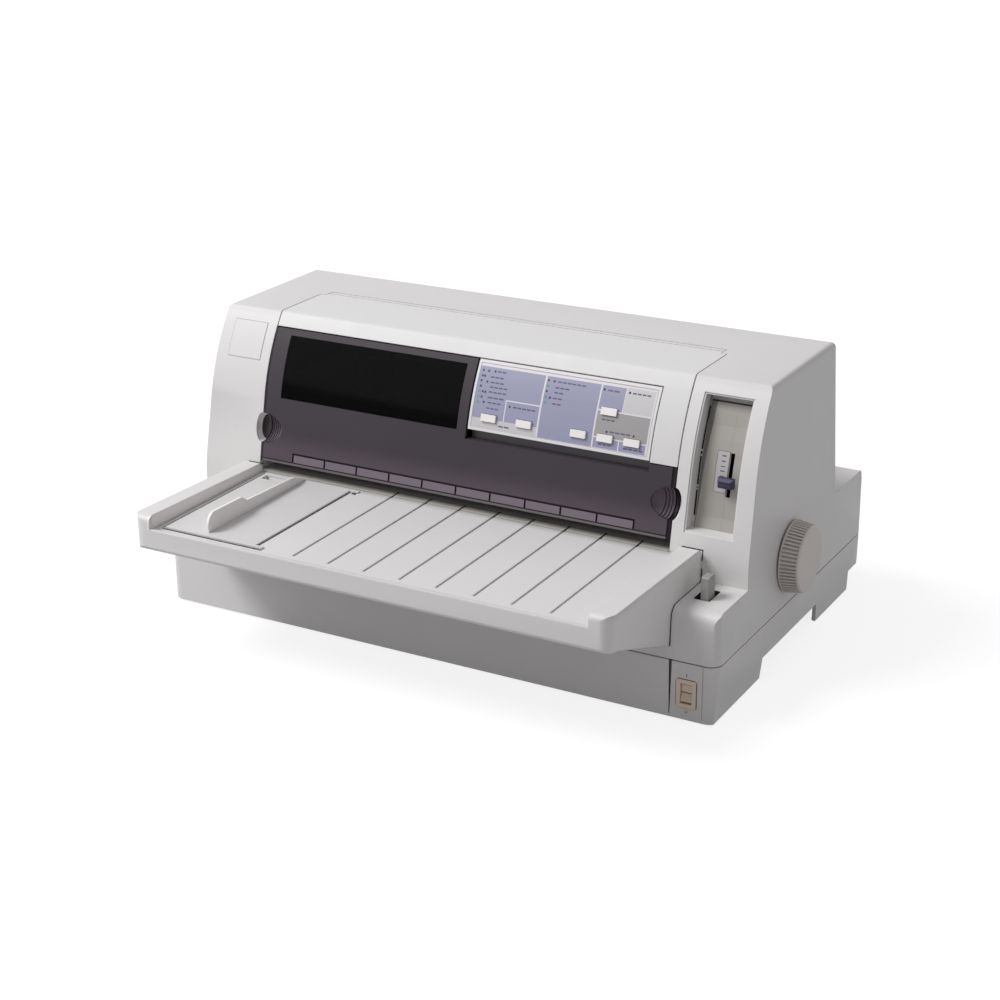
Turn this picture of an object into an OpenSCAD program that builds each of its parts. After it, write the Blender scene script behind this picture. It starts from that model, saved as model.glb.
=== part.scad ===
// Flatbed dot matrix printer: two-part housing with a hinged cover, a front paper
// tray, a print carriage over a platen, a paper feed train and a rear tractor pair.
// Millimetres. X runs across the machine, Y from front to back, Z up.

/* [Housing] */
// Width of the housing at the seam between its halves
case_w = 458; // [440:1:480]
// How far the top stands in from the widest line on each side
top_in = 4; // [1:0.5:9]
// How far the foot stands in from the widest line on each side
foot_in = 2.8; // [0:0.1:11]
// Height of the housing above its foot edge
case_h = 214.7; // [208:0.1:224]
// Depth of the rear deck, from the back of the tall part to the back of the housing
deck_d = 72.3; // [68:0.1:80]
// Height of the seam between the lower and the upper case
seam_z = 42.6; // [40:0.1:46]
// Height of the low shelf at the front of each column
shelf_z = 80.5; // [76:0.1:84]
// Height of the rear deck
deck_z = 94.8; // [93:0.1:96]
// Wall thickness of the housing mouldings
wall = 2.8; // [2:0.1:3.4]
// Corner radius of the housing seen from above
corner_r = 9; // [3:0.5:10]
// Open line between the two halves of the housing
seam_gap = 0.9; // [0.4:0.1:1]
// How far the back of the foot stands in from the back of the housing
skirt_in = 18; // [15:0.1:22]
// Height of the arch under each side, which is also the underside of the floor
arch_h = 15; // [12:0.5:18]
// Front end of the arch under each side
arch_y0 = 84; // [78:1:92]
// Rear end of the arch under each side
arch_y1 = 192; // [184:1:200]
// Depth of the tall part at its top
tall_d = 208.5; // [206:0.1:211]
// How far the back of the tall part slopes out down to the rear deck
tall_slope = 8.7; // [7:0.1:9]

/* [Front curve] */
// Depth of the column front at its foot
front_y = 50.8; // [49:0.1:53]
// Lean of the straight middle stretch of the column front, in degrees
front_lean = 11.3; // [10:0.1:13]
// Radius of the lower blend of the column front
front_r1 = 90; // [70:1:110]
// Radius of the upper sweep of the column front
front_r2 = 159; // [150:1:170]
// Height where the lower blend starts
front_z1 = 88; // [84:0.5:92]
// Height where the upper sweep starts
front_z2 = 150; // [147:0.5:152]
// Radius of the edge between the column front and the top
front_top_r = 5; // [4:0.5:8]

/* [Covers] */
// Width of the left column beside the covers
left_col = 52; // [50:0.5:54]
// Width of the right column beside the covers
right_col = 60.2; // [59:0.1:62]
// Depth of the hinge line of the printer cover
hinge_y = 151.2; // [146:0.1:158]
// Open line round the covers and the panel
cover_gap = 0.9; // [0.5:0.1:1]
// Thickness of the cover mouldings
cover_t = 2.5; // [2:0.1:3]
// Radius of the hinge bead along the rear edge of the printer cover
bead_r = 1.6; // [1.4:0.1:2]
// Height of the lower edge of the front cover
cover_z0 = 105.5; // [103:0.5:107]
// Distance from the top of the housing to the upper edge of the front cover
band_h = 10.1; // [9:0.1:12]
// Height of the opening between the control panel and the step under it
step_h = 7.4; // [6:0.1:9]
// Running clearance of a hinge pin or a shaft in its hole
pin_fit = 0.06; // [0.03:0.01:0.09]

/* [Control panel] */
// Width of the control panel
panel_w = 144.4; // [140:0.1:146]
// Height of the control panel
panel_h = 47.3; // [46:0.1:48]
// Width of the printer cover's arm beside the control panel
arm_w = 22.4; // [21:0.1:24]
// Width of a key cap
key_w = 12; // [10:0.5:13]
// Height of a key cap along the panel
key_h = 5.4; // [4:0.1:6]
// How far a key cap stands out of the panel
key_out = 1.3; // [1:0.1:1.6]
// Travel of a key
key_travel = 0.8; // [0.5:0.1:0.9]

/* [Lever pocket] */
// Width of the pocket in the right column
pocket_w = 34.5; // [32:0.5:36]
// Distance from the side of the housing to the pocket
pocket_in = 15.5; // [14:0.5:17]
// Height of the pocket's lower edge over the shelf
pocket_up = 33.5; // [31:0.5:36]
// Distance from the top of the housing to the pocket
pocket_down = 10.7; // [9:0.1:14]
// Depth of the pocket
pocket_depth = 11; // [9:0.5:13]
// Distance from the pocket's right edge to the thickness lever
gap_lever_in = 10.8; // [10:0.1:12]
// Height of the thickness lever knob over the pocket's lower edge
gap_lever_up = 35; // [33:0.5:37]
// Width of the lever slot
lever_slot_w = 3.4; // [3:0.1:4]

/* [Front tray] */
// How far the tray stands out in front of the housing
tray_out = 89.2; // [80:0.1:95]
// Height of the paper path
paper_z = 97.6; // [96:0.1:99]
// Distance from the left side of the housing to the tray
tray_in0 = 41.5; // [39:0.5:44]
// Distance from the right side of the housing to the tray
tray_in1 = 36; // [35:0.5:38]
// Open line between the tray and the housing
tray_gap = 0.9; // [0.4:0.1:1]
// Width of the rail along the left side of the tray
rail_w0 = 14; // [12:0.5:16]
// Width of the rail along the right side of the tray
rail_w1 = 15; // [13:0.5:17]
// Height of the rails above the paper path at the front
rail_h = 10.4; // [9:0.1:12]
// Height of the rails above the paper path at the rear
rail_rear_h = 6.9; // [6:0.1:9]
// Thickness of the tray plate
tray_t = 2.6; // [2.2:0.1:3]
// Number of grooves in the tray plate
grooves = 8; // [4:1:8]
// Distance from groove to groove
groove_pitch = 28.7; // [27:0.1:29]
// Width of the edge guide plate
guide_w = 77; // [70:0.5:80]
// Thickness of the edge guide plate
guide_t = 1.2; // [1:0.1:1.5]

/* [Platen and feed] */
// Depth of the platen axis
platen_y = 128; // [126:0.5:130]
// Radius of the platen roller
platen_r = 19.4; // [18.6:0.1:19.6]
// Radius of the platen shaft
platen_shaft_r = 4; // [3.5:0.1:4.5]
// Radius of the platen knob at its root
knob_r = 26.5; // [24:0.5:27]
// Radius of the platen knob at its face
knob_face_r = 24.5; // [22:0.5:25]
// How far the knob stands out of the side of the housing
knob_len = 14; // [12:0.5:18]
// Number of grip ribs round the knob
knob_ribs = 56; // [24:1:60]
// Radius of the feed rollers
feed_r = 8; // [7.5:0.1:8.2]
// Radius of the feed roller shafts
feed_shaft_r = 3; // [2.5:0.1:3.5]
// Radius of the pressure rollers
press_r = 5; // [4.5:0.1:5.2]
// Depth of the front feed shaft
feed_y0 = 90; // [89:0.5:91]
// Depth of the rear feed shaft
feed_y1 = 192; // [191:0.5:193]
// Module of the feed gears
gear_m = 1.5; // [1.48:0.01:1.54]
// Width of the feed gears
gear_w = 5; // [4:0.5:6]
// Paper gap between a feed roller and its pressure roller
nip = 0.4; // [0.3:0.1:0.6]

/* [Carriage] */
// Depth of the carriage guide shaft
guide_y = 168; // [167:0.5:169]
// Height of the carriage guide shaft
guide_z = 114; // [113:0.5:116]
// Radius of the carriage guide shaft
guide_r = 6; // [5:0.1:6.5]
// Half width of the carriage
carriage_hw = 30; // [26:1:34]
// Radius of the belt pulleys
pulley_r = 8; // [7:0.5:9]
// Thickness of the drive belt
belt_t = 1.4; // [1.2:0.1:1.6]
// Width of the drive belt
belt_w = 6; // [5:0.5:7]

/* [Frame] */
// Thickness of the steel sheets
sheet_t = 1.6; // [1.2:0.1:2]
// Distance from the covers out to the left side frame's outer face
frame_out0 = 5; // [4.5:0.5:6]
// Distance from the covers out to the right side frame's inner face
frame_out1 = 3.7; // [3.2:0.1:4.7]
// Height of the chassis plate
chassis_z = 38; // [37:0.5:39]
// Height of the frame screws' seat
seat_z = 22; // [21:0.5:23]

/* [Rear] */
// Depth of the tractor shaft
tractor_y = 238; // [237:0.5:239]
// Pitch radius of the tractor sprockets
sprocket_r = 11.4; // [11:0.1:11.6]
// Across flats of the square tractor shaft
square_w = 6; // [5:0.5:6.5]
// Distance from the tall part's foot to the hinge of the rear cover
rear_hinge_in = 5.3; // [5:0.1:6.5]
// Height of the hinge of the rear cover
rear_hinge_z = 124; // [123:0.5:126]

/* [Fittings] */
// Width of the power switch bezel
switch_w = 14.6; // [13:0.1:16]
// Height of the power switch bezel
switch_h = 21; // [19:0.5:22]
// Height of the power switch centre
switch_z = 19.6; // [18:0.1:21]
// Distance from the tray's right face to the power switch
switch_in = 13.7; // [12:0.1:15]
// How far the rubber feet stand out below the foot edge
foot_h = 1.5; // [1:0.1:2]
// Radius of the rubber feet
foot_r = 6.5; // [5:0.5:7]
// Height of the release lever's tip
release_z = 96.8; // [94:0.1:103]
// Distance from the tray's right face to the release lever
release_in = 15.3; // [14:0.1:16]
// Depth of the release lever's pivot
release_y = 27.6; // [26:0.1:29]
// Play between neighbouring pieces of one body
seat_gap = 0.15; // [0.1:0.05:0.25]

/* [Hidden] */
$fn = 48;

eps = 0.01;
off_white = [0.86, 0.85, 0.83];
half_w = case_w / 2;
top_w = case_w - 2 * top_in;
foot_w = case_w - 2 * foot_in;
case_d = tall_d + deck_d;
skirt_d = case_d - skirt_in;
cover_x0 = left_col - half_w;
cover_x1 = half_w - right_col;
tall_foot_d = tall_d + tall_slope;
window_z1 = case_h - band_h;
panel_x1 = cover_x1 - arm_w;
panel_x0 = panel_x1 - panel_w;
panel_z1 = window_z1 - cover_gap;
panel_z0 = panel_z1 - panel_h;
ledge_z = panel_z0 - step_h;
pocket_x1 = half_w - pocket_in;
pocket_x0 = pocket_x1 - pocket_w;
pocket_z0 = shelf_z + pocket_up;
pocket_z1 = case_h - pocket_down;
gap_lever_x = pocket_x1 - gap_lever_in;
gap_lever_z = pocket_z0 + gap_lever_up;
tray_x0 = tray_in0 - half_w;
tray_x1 = half_w - tray_in1;
switch_x = tray_x1 + switch_in;
release_x = tray_x1 + release_in;
knob_reach = half_w + knob_len;
frame_x0 = cover_x0 - frame_out0;
frame_x1 = cover_x1 + frame_out1;
rear_hinge_y = tall_foot_d + rear_hinge_in;
floor_z = arch_h + 1;
floor_t = 2.5;
inside_z = floor_z + floor_t;
upper_z0 = seam_z + seam_gap / 2;
lower_z1 = seam_z - seam_gap / 2;
tray_front = -tray_out;
platen_z = paper_z - platen_r - 0.3;
feed_z = paper_z - feed_r - 0.2;
press_z = feed_z + feed_r + nip + press_r;
hinge_z = case_h - bead_r;
window_x1 = panel_x0 - 1.4;
block_x0 = panel_x1 + cover_gap;
block_z0 = panel_z0 - cover_gap;
ear_w = 4.6;
ear_d = 8;
place_x = (knob_reach - half_w) / 2;
place_y = (case_d - tray_out) / 2;

// ---- helpers: extrusions of a section along one axis, and round bars ----
module along_x(x0, x1) {
    translate([x0, 0, 0]) rotate([90, 0, 90]) linear_extrude(x1 - x0) children();
}
module along_y(y0, y1) {
    translate([0, y1, 0]) rotate([90, 0, 0]) linear_extrude(y1 - y0) children();
}
module along_z(z0, z1) {
    translate([0, 0, z0]) linear_extrude(z1 - z0) children();
}
module box(a, b) {
    translate(a) cube(b - a);
}
module rod_x(x0, x1, y, z, r) {
    translate([x0, y, z]) rotate([0, 90, 0]) cylinder(h = x1 - x0, r = r);
}
module rod_y(y0, y1, x, z, r) {
    translate([x, y1, z]) rotate([90, 0, 0]) cylinder(h = y1 - y0, r = r);
}
module rod_z(z0, z1, x, y, r) {
    translate([x, y, z0]) cylinder(h = z1 - z0, r = r);
}
module rounded(a, b, r) {
    translate([a[0] + r, a[1] + r]) offset(r = r, $fn = 24) square([b[0] - a[0] - 2 * r, b[1] - a[1] - 2 * r]);
}

// ---- the front curve: two arcs, a straight and the edge to the top ----
function arc(cy, cz, r, a0, a1, n) =
    [for (i = [0 : n]) let (a = a0 + (a1 - a0) * i / n) [cy - r * cos(a), cz + r * sin(a)]];
blend_y = front_y + front_r1;
blend_end = [blend_y - front_r1 * cos(front_lean), front_z1 + front_r1 * sin(front_lean)];
sweep_start = [blend_end[0] + (front_z2 - blend_end[1]) * tan(front_lean), front_z2];
sweep_c = [sweep_start[0] + front_r2 * cos(front_lean), sweep_start[1] - front_r2 * sin(front_lean)];
top_a = asin((case_h - front_top_r - sweep_c[1]) / (front_r2 - front_top_r));
edge_c = [sweep_c[0] - (front_r2 - front_top_r) * cos(top_a), case_h - front_top_r];
// points from the foot to the top, moved inward by t
function front_curve(t) = concat(
    arc(blend_y, front_z1, front_r1 - t, 0, front_lean, 3),
    arc(sweep_c[0], sweep_c[1], front_r2 - t, front_lean, top_a, 7),
    arc(edge_c[0], edge_c[1], max(front_top_r - t, 0.4), top_a + 9, 90, 4));
// depth and lean of the curve's upper sweep at a height
function sweep_angle(z) = asin((z - sweep_c[1]) / front_r2);
function sweep_y(z) = sweep_c[0] - front_r2 * cos(sweep_angle(z));

module curve_band(t0, t1, y1) {
    // a strip between two depths under the front curve, which runs on along the top to y1
    polygon(concat([[front_y + t0, shelf_z]], front_curve(t0), [[y1, case_h - t0]],
        [[y1, case_h - t1]], reversed(front_curve(t1)), [[front_y + t1, shelf_z]]));
}
function reversed(v) = [for (i = [len(v) - 1 : -1 : 0]) v[i]];

// ---- housing sections ----
module upper_side(t) {
    // side view of the upper case, moved inward by t
    offset(delta = -t) polygon(concat(
        [[0, seam_z - 20], [0, seam_z], [1.5, shelf_z - 8]],
        arc(9.5, shelf_z - 8, 8, 15, 90, 4),
        [[front_y, shelf_z]],
        front_curve(0),
        arc_back(tall_d - 5, case_h - 5, 5, 4),
        [[tall_foot_d, deck_z]],
        arc_back(case_d - 5.6 - 3, deck_z - 3, 3, 3),
        [[case_d, seam_z], [case_d, seam_z - 20]]));
}
function arc_back(cy, cz, r, n) = [for (i = [0 : n]) let (a = 90 - 86 * i / n) [cy + r * cos(a), cz + r * sin(a)]];
module front_view(t) {
    // front view of the housing, moved inward by t; its sides slope out to the seam
    offset(delta = -t) polygon(concat(
        [[-foot_w / 2, 0], [foot_w / 2, 0], [half_w, seam_z]],
        [for (i = [0 : 4]) let (a = 90 * i / 4)
            [top_w / 2 + 0.1 - 4 + 4 * cos(a), case_h - 4 + 4 * sin(a)]],
        [for (i = [0 : 4]) let (a = 90 + 90 * i / 4)
            [4 - top_w / 2 - 0.1 + 4 * cos(a), case_h - 4 + 4 * sin(a)]],
        [[-half_w, seam_z]]));
}
module plan(t, d) {
    rounded([-half_w + t, t], [half_w - t, d - t], max(corner_r - t, 1));
}
module upper_body(t) {
    intersection() {
        along_x(-half_w - 1, half_w + 1) upper_side(t);
        along_y(-1, case_d + 1) front_view(t);
        along_z(seam_z - 20, case_h + 1) plan(t, case_d);
    }
}
module lower_body(t, z0, z1, d) {
    intersection() {
        along_y(-1, case_d + 1) front_view(t);
        along_z(z0, z1) plan(t, d);
    }
}
// piece of the front between two widths, two heights and two depths under the curve
module front_cut(x0, x1, z0, z1, t0, t1, y1 = 104) {
    intersection() {
        along_x(x0, x1) curve_band(t0, t1, hinge_y);
        box([x0, -10, z0], [x1, y1, z1]);
    }
}

// ---- lower case ----
frame_seats = [for (x = [frame_x0 + sheet_t + 7, frame_x1 - 7], y = [95, 185]) [x, y]];
foot_places = [for (x = [13 - half_w, half_w - 13], y = [52, skirt_d - 34.8]) [x, y]];
board_x0 = -50;
board_x1 = half_w - 77;
supply_x0 = 64 - half_w;
supply_x1 = board_x0 - 10;
board_posts = [for (x = [board_x0 + 8, board_x1 - 10], y = [60, 215]) [x, y]];
supply_posts = [for (x = [supply_x0 + 5, supply_x1 - 10], y = [60, 215]) [x, y]];
module lower_case() {
    color(off_white) difference() {
        union() {
            difference() {
                lower_body(0, floor_z, lower_z1, case_d);
                lower_body(wall, inside_z, lower_z1 + 1, case_d);
            }
            difference() {
                lower_body(0, 0, floor_z + eps, skirt_d);
                lower_body(wall, -1, floor_z, skirt_d);
                // open foot
                intersection() {
                    along_z(-1, wall + 1) plan(wall, skirt_d);
                    box([wall - foot_w / 2, 0, -2], [foot_w / 2 - wall, skirt_d, wall + 1]);
                }
            }
            // tongue inside the seam
            difference() {
                lower_body(wall + seat_gap, lower_z1 - 6, lower_z1 + 3, case_d - 0.5);
                lower_body(wall + 1.6, lower_z1 - 7, lower_z1 + 4, case_d);
            }
            difference() {
                lower_body(wall - eps, lower_z1 - 6, lower_z1 - 4, case_d);
                lower_body(wall + 1.6, lower_z1 - 7, lower_z1, case_d);
            }
            for (p = foot_places) rod_z(0, floor_z + eps, p[0], p[1], foot_r + 1.6);
            // closed well behind the power switch opening
            box([switch_x - 9, wall - 1, max(switch_z - 12, 2)], [switch_x + 9, 24, switch_z + 12]);
            for (p = frame_seats) rod_z(floor_z + eps, seat_z, p[0], p[1], 5);
            for (p = concat(board_posts, supply_posts)) rod_z(floor_z + eps, seat_z, p[0], p[1], 4);
            // ribs across the floor
            for (y = [70, 130, 200, 250])
                box([3 - half_w, y, inside_z - 0.5], [half_w - 3, y + 2, inside_z + 1]);
        }
        // arches under the sides
        for (s = [-1, 1])
            translate([s > 0 ? half_w - 12 : -half_w - 2, 0, 0])
                rotate([90, 0, 90]) linear_extrude(14)
                    polygon([[arch_y0 - 1, -1], [arch_y1 + 1, -1], [arch_y1 - 1.5, arch_h], [arch_y0 + 1.5, arch_h]]);
        // bored seats of the rubber feet
        for (p = foot_places) rod_z(-1, 2, p[0], p[1], foot_r + seat_gap);
        for (p = foot_places) rod_z(3.4, floor_z - 1.4, p[0], p[1], 3.3);
        for (p = foot_places) rod_z(1, inside_z + 1, p[0], p[1], 1.7);
        for (p = frame_seats) rod_z(floor_z + 1, seat_z + 1, p[0], p[1], 1.55);
        box([switch_x - 6.2, wall, switch_z - 9.4], [switch_x + 6.2, 22.5, switch_z + 9.4]);
        // power switch opening
        box([switch_x - switch_w / 2 + 1.2, -1, switch_z - switch_h / 2 + 1.2],
            [switch_x + switch_w / 2 - 1.2, wall + 9, switch_z + switch_h / 2 - 1.2]);
        // tapering groove and fine line on both sides of the switch
        along_y(-1, 1) polygon([[tray_x1 + 1, 2.4], [tray_x1 + 1.6, 2.4], [tray_x1 + 2.6, lower_z1 + 1],
            [tray_x1 + 0.4, lower_z1 + 1]]);
        box([switch_x + 11.6, -1, 3], [switch_x + 12, 0.4, lower_z1 + 1]);
        // mains inlet and interface port in the back wall
        box([inlet_x - 14, case_d - 9, inside_z + 1], [inlet_x + 14, case_d + 2, inside_z + 21.4]);
        box([port_x - 32, case_d - 9, seat_z + 1], [port_x + 32, case_d + 2, seat_z + 17.4]);
        // cooling slots in the floor
        for (i = [0 : 11])
            box([supply_x0 + 15 + 9 * i, 90, floor_z - 1], [supply_x0 + 19 + 9 * i, 128, inside_z - 0.6]);
    }
}

// ---- upper case ----
recess_x0 = tray_x0 - tray_gap;
recess_x1 = tray_x1 + tray_gap;
recess_z = 52;
bay = [[frame_x0 - 12, rear_hinge_y - 2], [frame_x1 + 11.5, case_d - 12.8]];
module upper_case() {
    color(off_white) difference() {
        union() {
            difference() {
                intersection() {
                    upper_body(0);
                    box([-half_w, -1, upper_z0], [half_w, case_d, case_h]);
                }
                upper_body(wall);
                // the middle gives way to the tray and the covers
                box([recess_x0, -2, recess_z], [recess_x1, front_y, case_h]);
                box([cover_x0, -2, paper_z - 2.1], [cover_x1, hinge_y + bead_r + 0.6, case_h + 1]);
            }
            tray_recess();
            cheeks();
            lever_pocket();
            release_well();
            cover_ears();
            scoop_backing(cover_x0, -1);
            scoop_backing(cover_x1, 1);
            clamp_bosses();
            rear_hinge_lugs();
            // raised bare field on the left column
            front_cut(14 - half_w, cover_x0 - 8.5, case_h - 35.2, case_h - 9.7, -0.25, 0.5);
        }
        pocket_cut();
        scoop(cover_x0, -1, 0);
        scoop(cover_x1, 1, 0);
        rod_x(half_w - 12, half_w + 2, platen_y, platen_z, platen_shaft_r + 1.5);
        box([release_x - 7.8, 21.4, shelf_z - wall - 1], [release_x + 4.2, 40.6, shelf_z + 1]);
        // rear paper slot through the tall back, and the tractor bay in the deck
        box([cover_x0 + 5, tall_d - 2, paper_z - 2.1], [cover_x1 - 1.8, tall_foot_d + 2, paper_z + 6.4]);
        box([bay[0][0], bay[0][1], deck_z - wall - 1], [bay[1][0], bay[1][1], deck_z + 1]);
        // cooling slots in the back
        for (i = [0 : 13]) box([-60 + 7 * i, case_d - 10, 50], [-57 + 7 * i, case_d + 1, 76]);
    }
}
module tray_recess() {
    // apron, floor and back of the recess that the tray hooks into, and its side walls
    along_x(recess_x0 - 2.4, recess_x1 + 2.4) polygon([[0, upper_z0], [wall, upper_z0],
        [wall, recess_z - 2.4], [front_y + 2.4, recess_z - 2.4], [front_y + 2.4, paper_z - 2.1],
        [front_y, paper_z - 2.1], [front_y, recess_z], [0.4, recess_z]]);
    for (x = [recess_x0 - 2.4, recess_x1])
        intersection() {
            along_x(x, x + 2.4) upper_side(0);
            box([x, 0, recess_z - 2.4], [x + 2.4, front_y + 2.4, shelf_z + eps]);
        }
}
module cheeks() {
    // flanges along the cover opening, down from the top and in from the front
    for (x = [cover_x0 - 2.5, cover_x1])
        intersection() {
            along_x(x, x + 2.5) curve_band(0.5, 24, tall_d - 8);
            box([x, front_y, paper_z - 2.1], [x + 2.5, hinge_y + 12, case_h - 0.5]);
        }
}
module lever_pocket() {
    front_cut(pocket_x0 - 2.2, pocket_x1 + 2.2, pocket_z0 - 2.2, pocket_z1 + 2.2, 0.5, pocket_depth + 2.2);
}
module pocket_cut() {
    front_cut(pocket_x0, pocket_x1, pocket_z0, pocket_z1, -4, pocket_depth);
    // rebate round the edge
    front_cut(pocket_x0 - 1.2, pocket_x1 + 1.2, pocket_z0 - 1.2, pocket_z1 + 1.2, -4, 0.7);
    // groove down the left of the back, in three lengths
    for (z = [[7, 27], [28, 51], [52, 86]])
        front_cut(pocket_x0, pocket_x0 + 1.5, pocket_z0 + z[0], pocket_z0 + z[1], 5, pocket_depth + 1);
    // lever slot
    front_cut(gap_lever_x - lever_slot_w / 2, gap_lever_x + lever_slot_w / 2, gap_lever_z - 13,
        gap_lever_z + 21.5, 5, pocket_depth + 6);
}
module release_well() {
    // rim under the shelf round the release lever slot
    difference() {
        box([release_x - 9.4, 19.8, shelf_z - 7], [release_x + 5.8, 42.2, shelf_z - wall + 0.5]);
        box([release_x - 7.8, 21.4, shelf_z - 8], [release_x + 4.2, 40.6, shelf_z]);
    }
}
module cover_ears() {
    // lugs in the rear corners of the cover opening, bored for the hinge pins
    for (x = [cover_x0 - 1, cover_x1 - ear_w])
        difference() {
            box([x, hinge_y - ear_d, case_h - 8], [x + ear_w + 1, hinge_y + bead_r + 1, case_h]);
            rod_x(x - 1, x + ear_w + 2, hinge_y, hinge_z, bead_r - 0.5 + pin_fit);
        }
}
scoop_r = 11.4;
scoop_z = 130.4;
scoop_len = 18;
scoop_y = sweep_start[0] - (front_z2 - scoop_z) * tan(front_lean);
module scoop_backing(x, s) {
    front_cut(min(x, x + s * 7.4), max(x, x + s * 7.4), scoop_z - 13.2, scoop_z + 13.2, 0.5, 13.2);
}
module dome(r, len) {
    // half of an egg shape along Z
    rotate_extrude() polygon(concat([[0, 0]], [for (i = [0 : 9]) [r * cos(10 * i), len * sin(10 * i)]]));
}
module scoop(x, s, grow) {
    // finger hollow: a shallow dome in the column facing a long one in the cover
    translate([x, scoop_y, scoop_z]) rotate([0, s * 90, 0]) dome(scoop_r + grow, 5.4 + grow);
    translate([x + s * eps, scoop_y, scoop_z]) rotate([0, -s * 90, 0]) dome(scoop_r + grow, scoop_len + grow);
}
module scoop_grips(x, s) {
    // grooves across the mouth of the finger hollow
    for (i = [1 : 4])
        let (d = 0.6 + 2.3 * i, r = scoop_r * sqrt(1 - pow(d / scoop_len, 2)) + 0.6)
            rod_x(min(x - s * d, x - s * (d + 0.9)), max(x - s * d, x - s * (d + 0.9)), scoop_y, scoop_z, r);
}
inlet_x = 79 - half_w;
port_x = board_x1 - 57;
module clamp_bosses() {
    // bosses down to the floor of the lower case, one over each foot
    for (p = foot_places)
        difference() {
            rod_z(inside_z + seat_gap, (p[1] > tall_d ? deck_z : shelf_z) - 1, p[0], p[1], 4.2);
            rod_z(inside_z - 1, inside_z + 14, p[0], p[1], 1.3);
        }
}
module rear_hinge_lugs() {
    for (x = [hood_x0 - 4.4, hood_x1 + 0.4])
        difference() {
            union() {
                rod_x(x, x + 4, rear_hinge_y, rear_hinge_z, 3.6);
                box([x, tall_foot_d - 3.5, rear_hinge_z - 3.6], [x + 4, rear_hinge_y, rear_hinge_z + 3.6]);
            }
            rod_x(x - 1, x + 5, rear_hinge_y, rear_hinge_z, 1.5 + pin_fit);
        }
}

// ---- small parts under the housing ----
module rubber_feet() {
    color([0.2, 0.2, 0.21]) for (p = foot_places)
        difference() {
            rod_z(-foot_h, 2, p[0], p[1], foot_r);
            rod_z(-foot_h - 1, 3, p[0], p[1], 2.6);
        }
}
module screw(x, y, z, len, r) {
    // pan head screw, head below z and shank above it
    rod_z(z - 2.2, z, x, y, r * 2);
    rod_z(z - eps, z + len, x, y, r);
}
module case_screws() {
    color([0.6, 0.6, 0.62]) for (p = foot_places) screw(p[0], p[1], floor_z - 1.5, 14, 1.2);
}
module frame_screws() {
    color([0.6, 0.6, 0.62]) for (p = frame_seats)
        translate([0, 0, 2 * (seat_z + sheet_t)]) mirror([0, 0, 1]) screw(p[0], p[1], seat_z + sheet_t, 6, 1.4);
}

// ---- steel frame ----
frame_shape = [[70, seat_z], [70, 110], [78, 118], [78, 152], [86, 160], [180, 160], [204, 136], [204, 91], [258, 91], [258, 62],
    [214, 46], [204, seat_z]];
module frame_plate(x) {
    difference() {
        along_x(x, x + sheet_t) polygon(frame_shape);
        rod_x(x - 1, x + 3, platen_y, platen_z, platen_shaft_r + pin_fit);
        for (y = [feed_y0, feed_y1]) rod_x(x - 1, x + 3, y, feed_z, feed_shaft_r + pin_fit);
        for (y = [feed_y0, feed_y1]) rod_x(x - 1, x + 3, y, press_z, press_shaft_r + pin_fit);
        rod_x(x - 1, x + 3, guide_y, guide_z, guide_r + pin_fit);
        rod_x(x - 1, x + 3, tractor_y, tractor_z, tractor_end_r + pin_fit);
        rod_x(x - 1, x + 3, bar_y, bar_z, bar_r);
        // lightening hole
        along_x(x - 1, x + 3) rounded([92, seat_z + 24], [116, 66], 5);
    }
}
module foot_flange(x0, x1, y) {
    difference() {
        box([x0, y - 8, seat_z], [x1, y + 8, seat_z + sheet_t]);
        rod_z(seat_z - 1, seat_z + 3, x0 < 0 ? frame_seats[0][0] : frame_seats[2][0], y, 1.5);
    }
}
press_shaft_r = 2;
tractor_end_r = 3;
tractor_z = paper_z - sprocket_r - 0.2;
bar_y = 252;
bar_z = 76;
bar_r = 3;
module left_side_frame() {
    color([0.72, 0.74, 0.75]) difference() {
        union() {
            frame_plate(frame_x0);
            for (y = [95, 185]) foot_flange(frame_x0, frame_x0 + 15, y);
            // studs of the idler gears
            for (p = [idler_front, idler_rear, idler_tractor]) rod_x(gear_x - 1, frame_x0 + eps, p[0], p[1], 2.5);
        }
        rod_x(frame_x0 - 1, frame_x0 + 3, pinion[0], pinion[1], 3);
    }
}
module right_side_frame() {
    color([0.72, 0.74, 0.75]) union() {
        frame_plate(frame_x1);
        for (y = [95, 185]) foot_flange(frame_x1 - 15, frame_x1 + sheet_t, y);
        // tab and stud of the belt idler
        box([pulley_x1 - 12, pulley_y - 7, motor_plate_z], [frame_x1 + sheet_t, pulley_y + 12, motor_plate_z + sheet_t]);
        rod_z(belt_z - belt_w / 2 - 2, motor_plate_z + eps, pulley_x1, pulley_y, 2);
    }
}
module chassis_plate() {
    color([0.7, 0.72, 0.73]) difference() {
        union() {
            box([frame_x0 + sheet_t, 76, chassis_z], [frame_x1, 202, chassis_z + sheet_t]);
            for (y = [76, 202 - sheet_t]) box([frame_x0 + sheet_t, y, chassis_z - 5], [frame_x1, y + sheet_t, chassis_z + eps]);
        }
        for (x = [-150 : 60 : 150]) along_z(chassis_z - 1, chassis_z + 3) rounded([x - 20, 96], [x + 20, 120], 6);
    }
}
module front_rail() {
    color([0.72, 0.74, 0.75]) difference() {
        union() {
            box([frame_x0 + sheet_t, 92, 118], [frame_x1, 92 + sheet_t, rail_z]);
            box([frame_x0 + sheet_t, 92, rail_z - sheet_t], [frame_x1, 104, rail_z]);
        }
        for (x = [-140 : 70 : 140]) rod_y(90, 95, x, 125, 3);
    }
}
rail_z = 134;
roller_xs = [for (i = [0 : 4]) frame_x0 + 42 + (frame_x1 - frame_x0 - 82.5) * i / 4];
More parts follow.
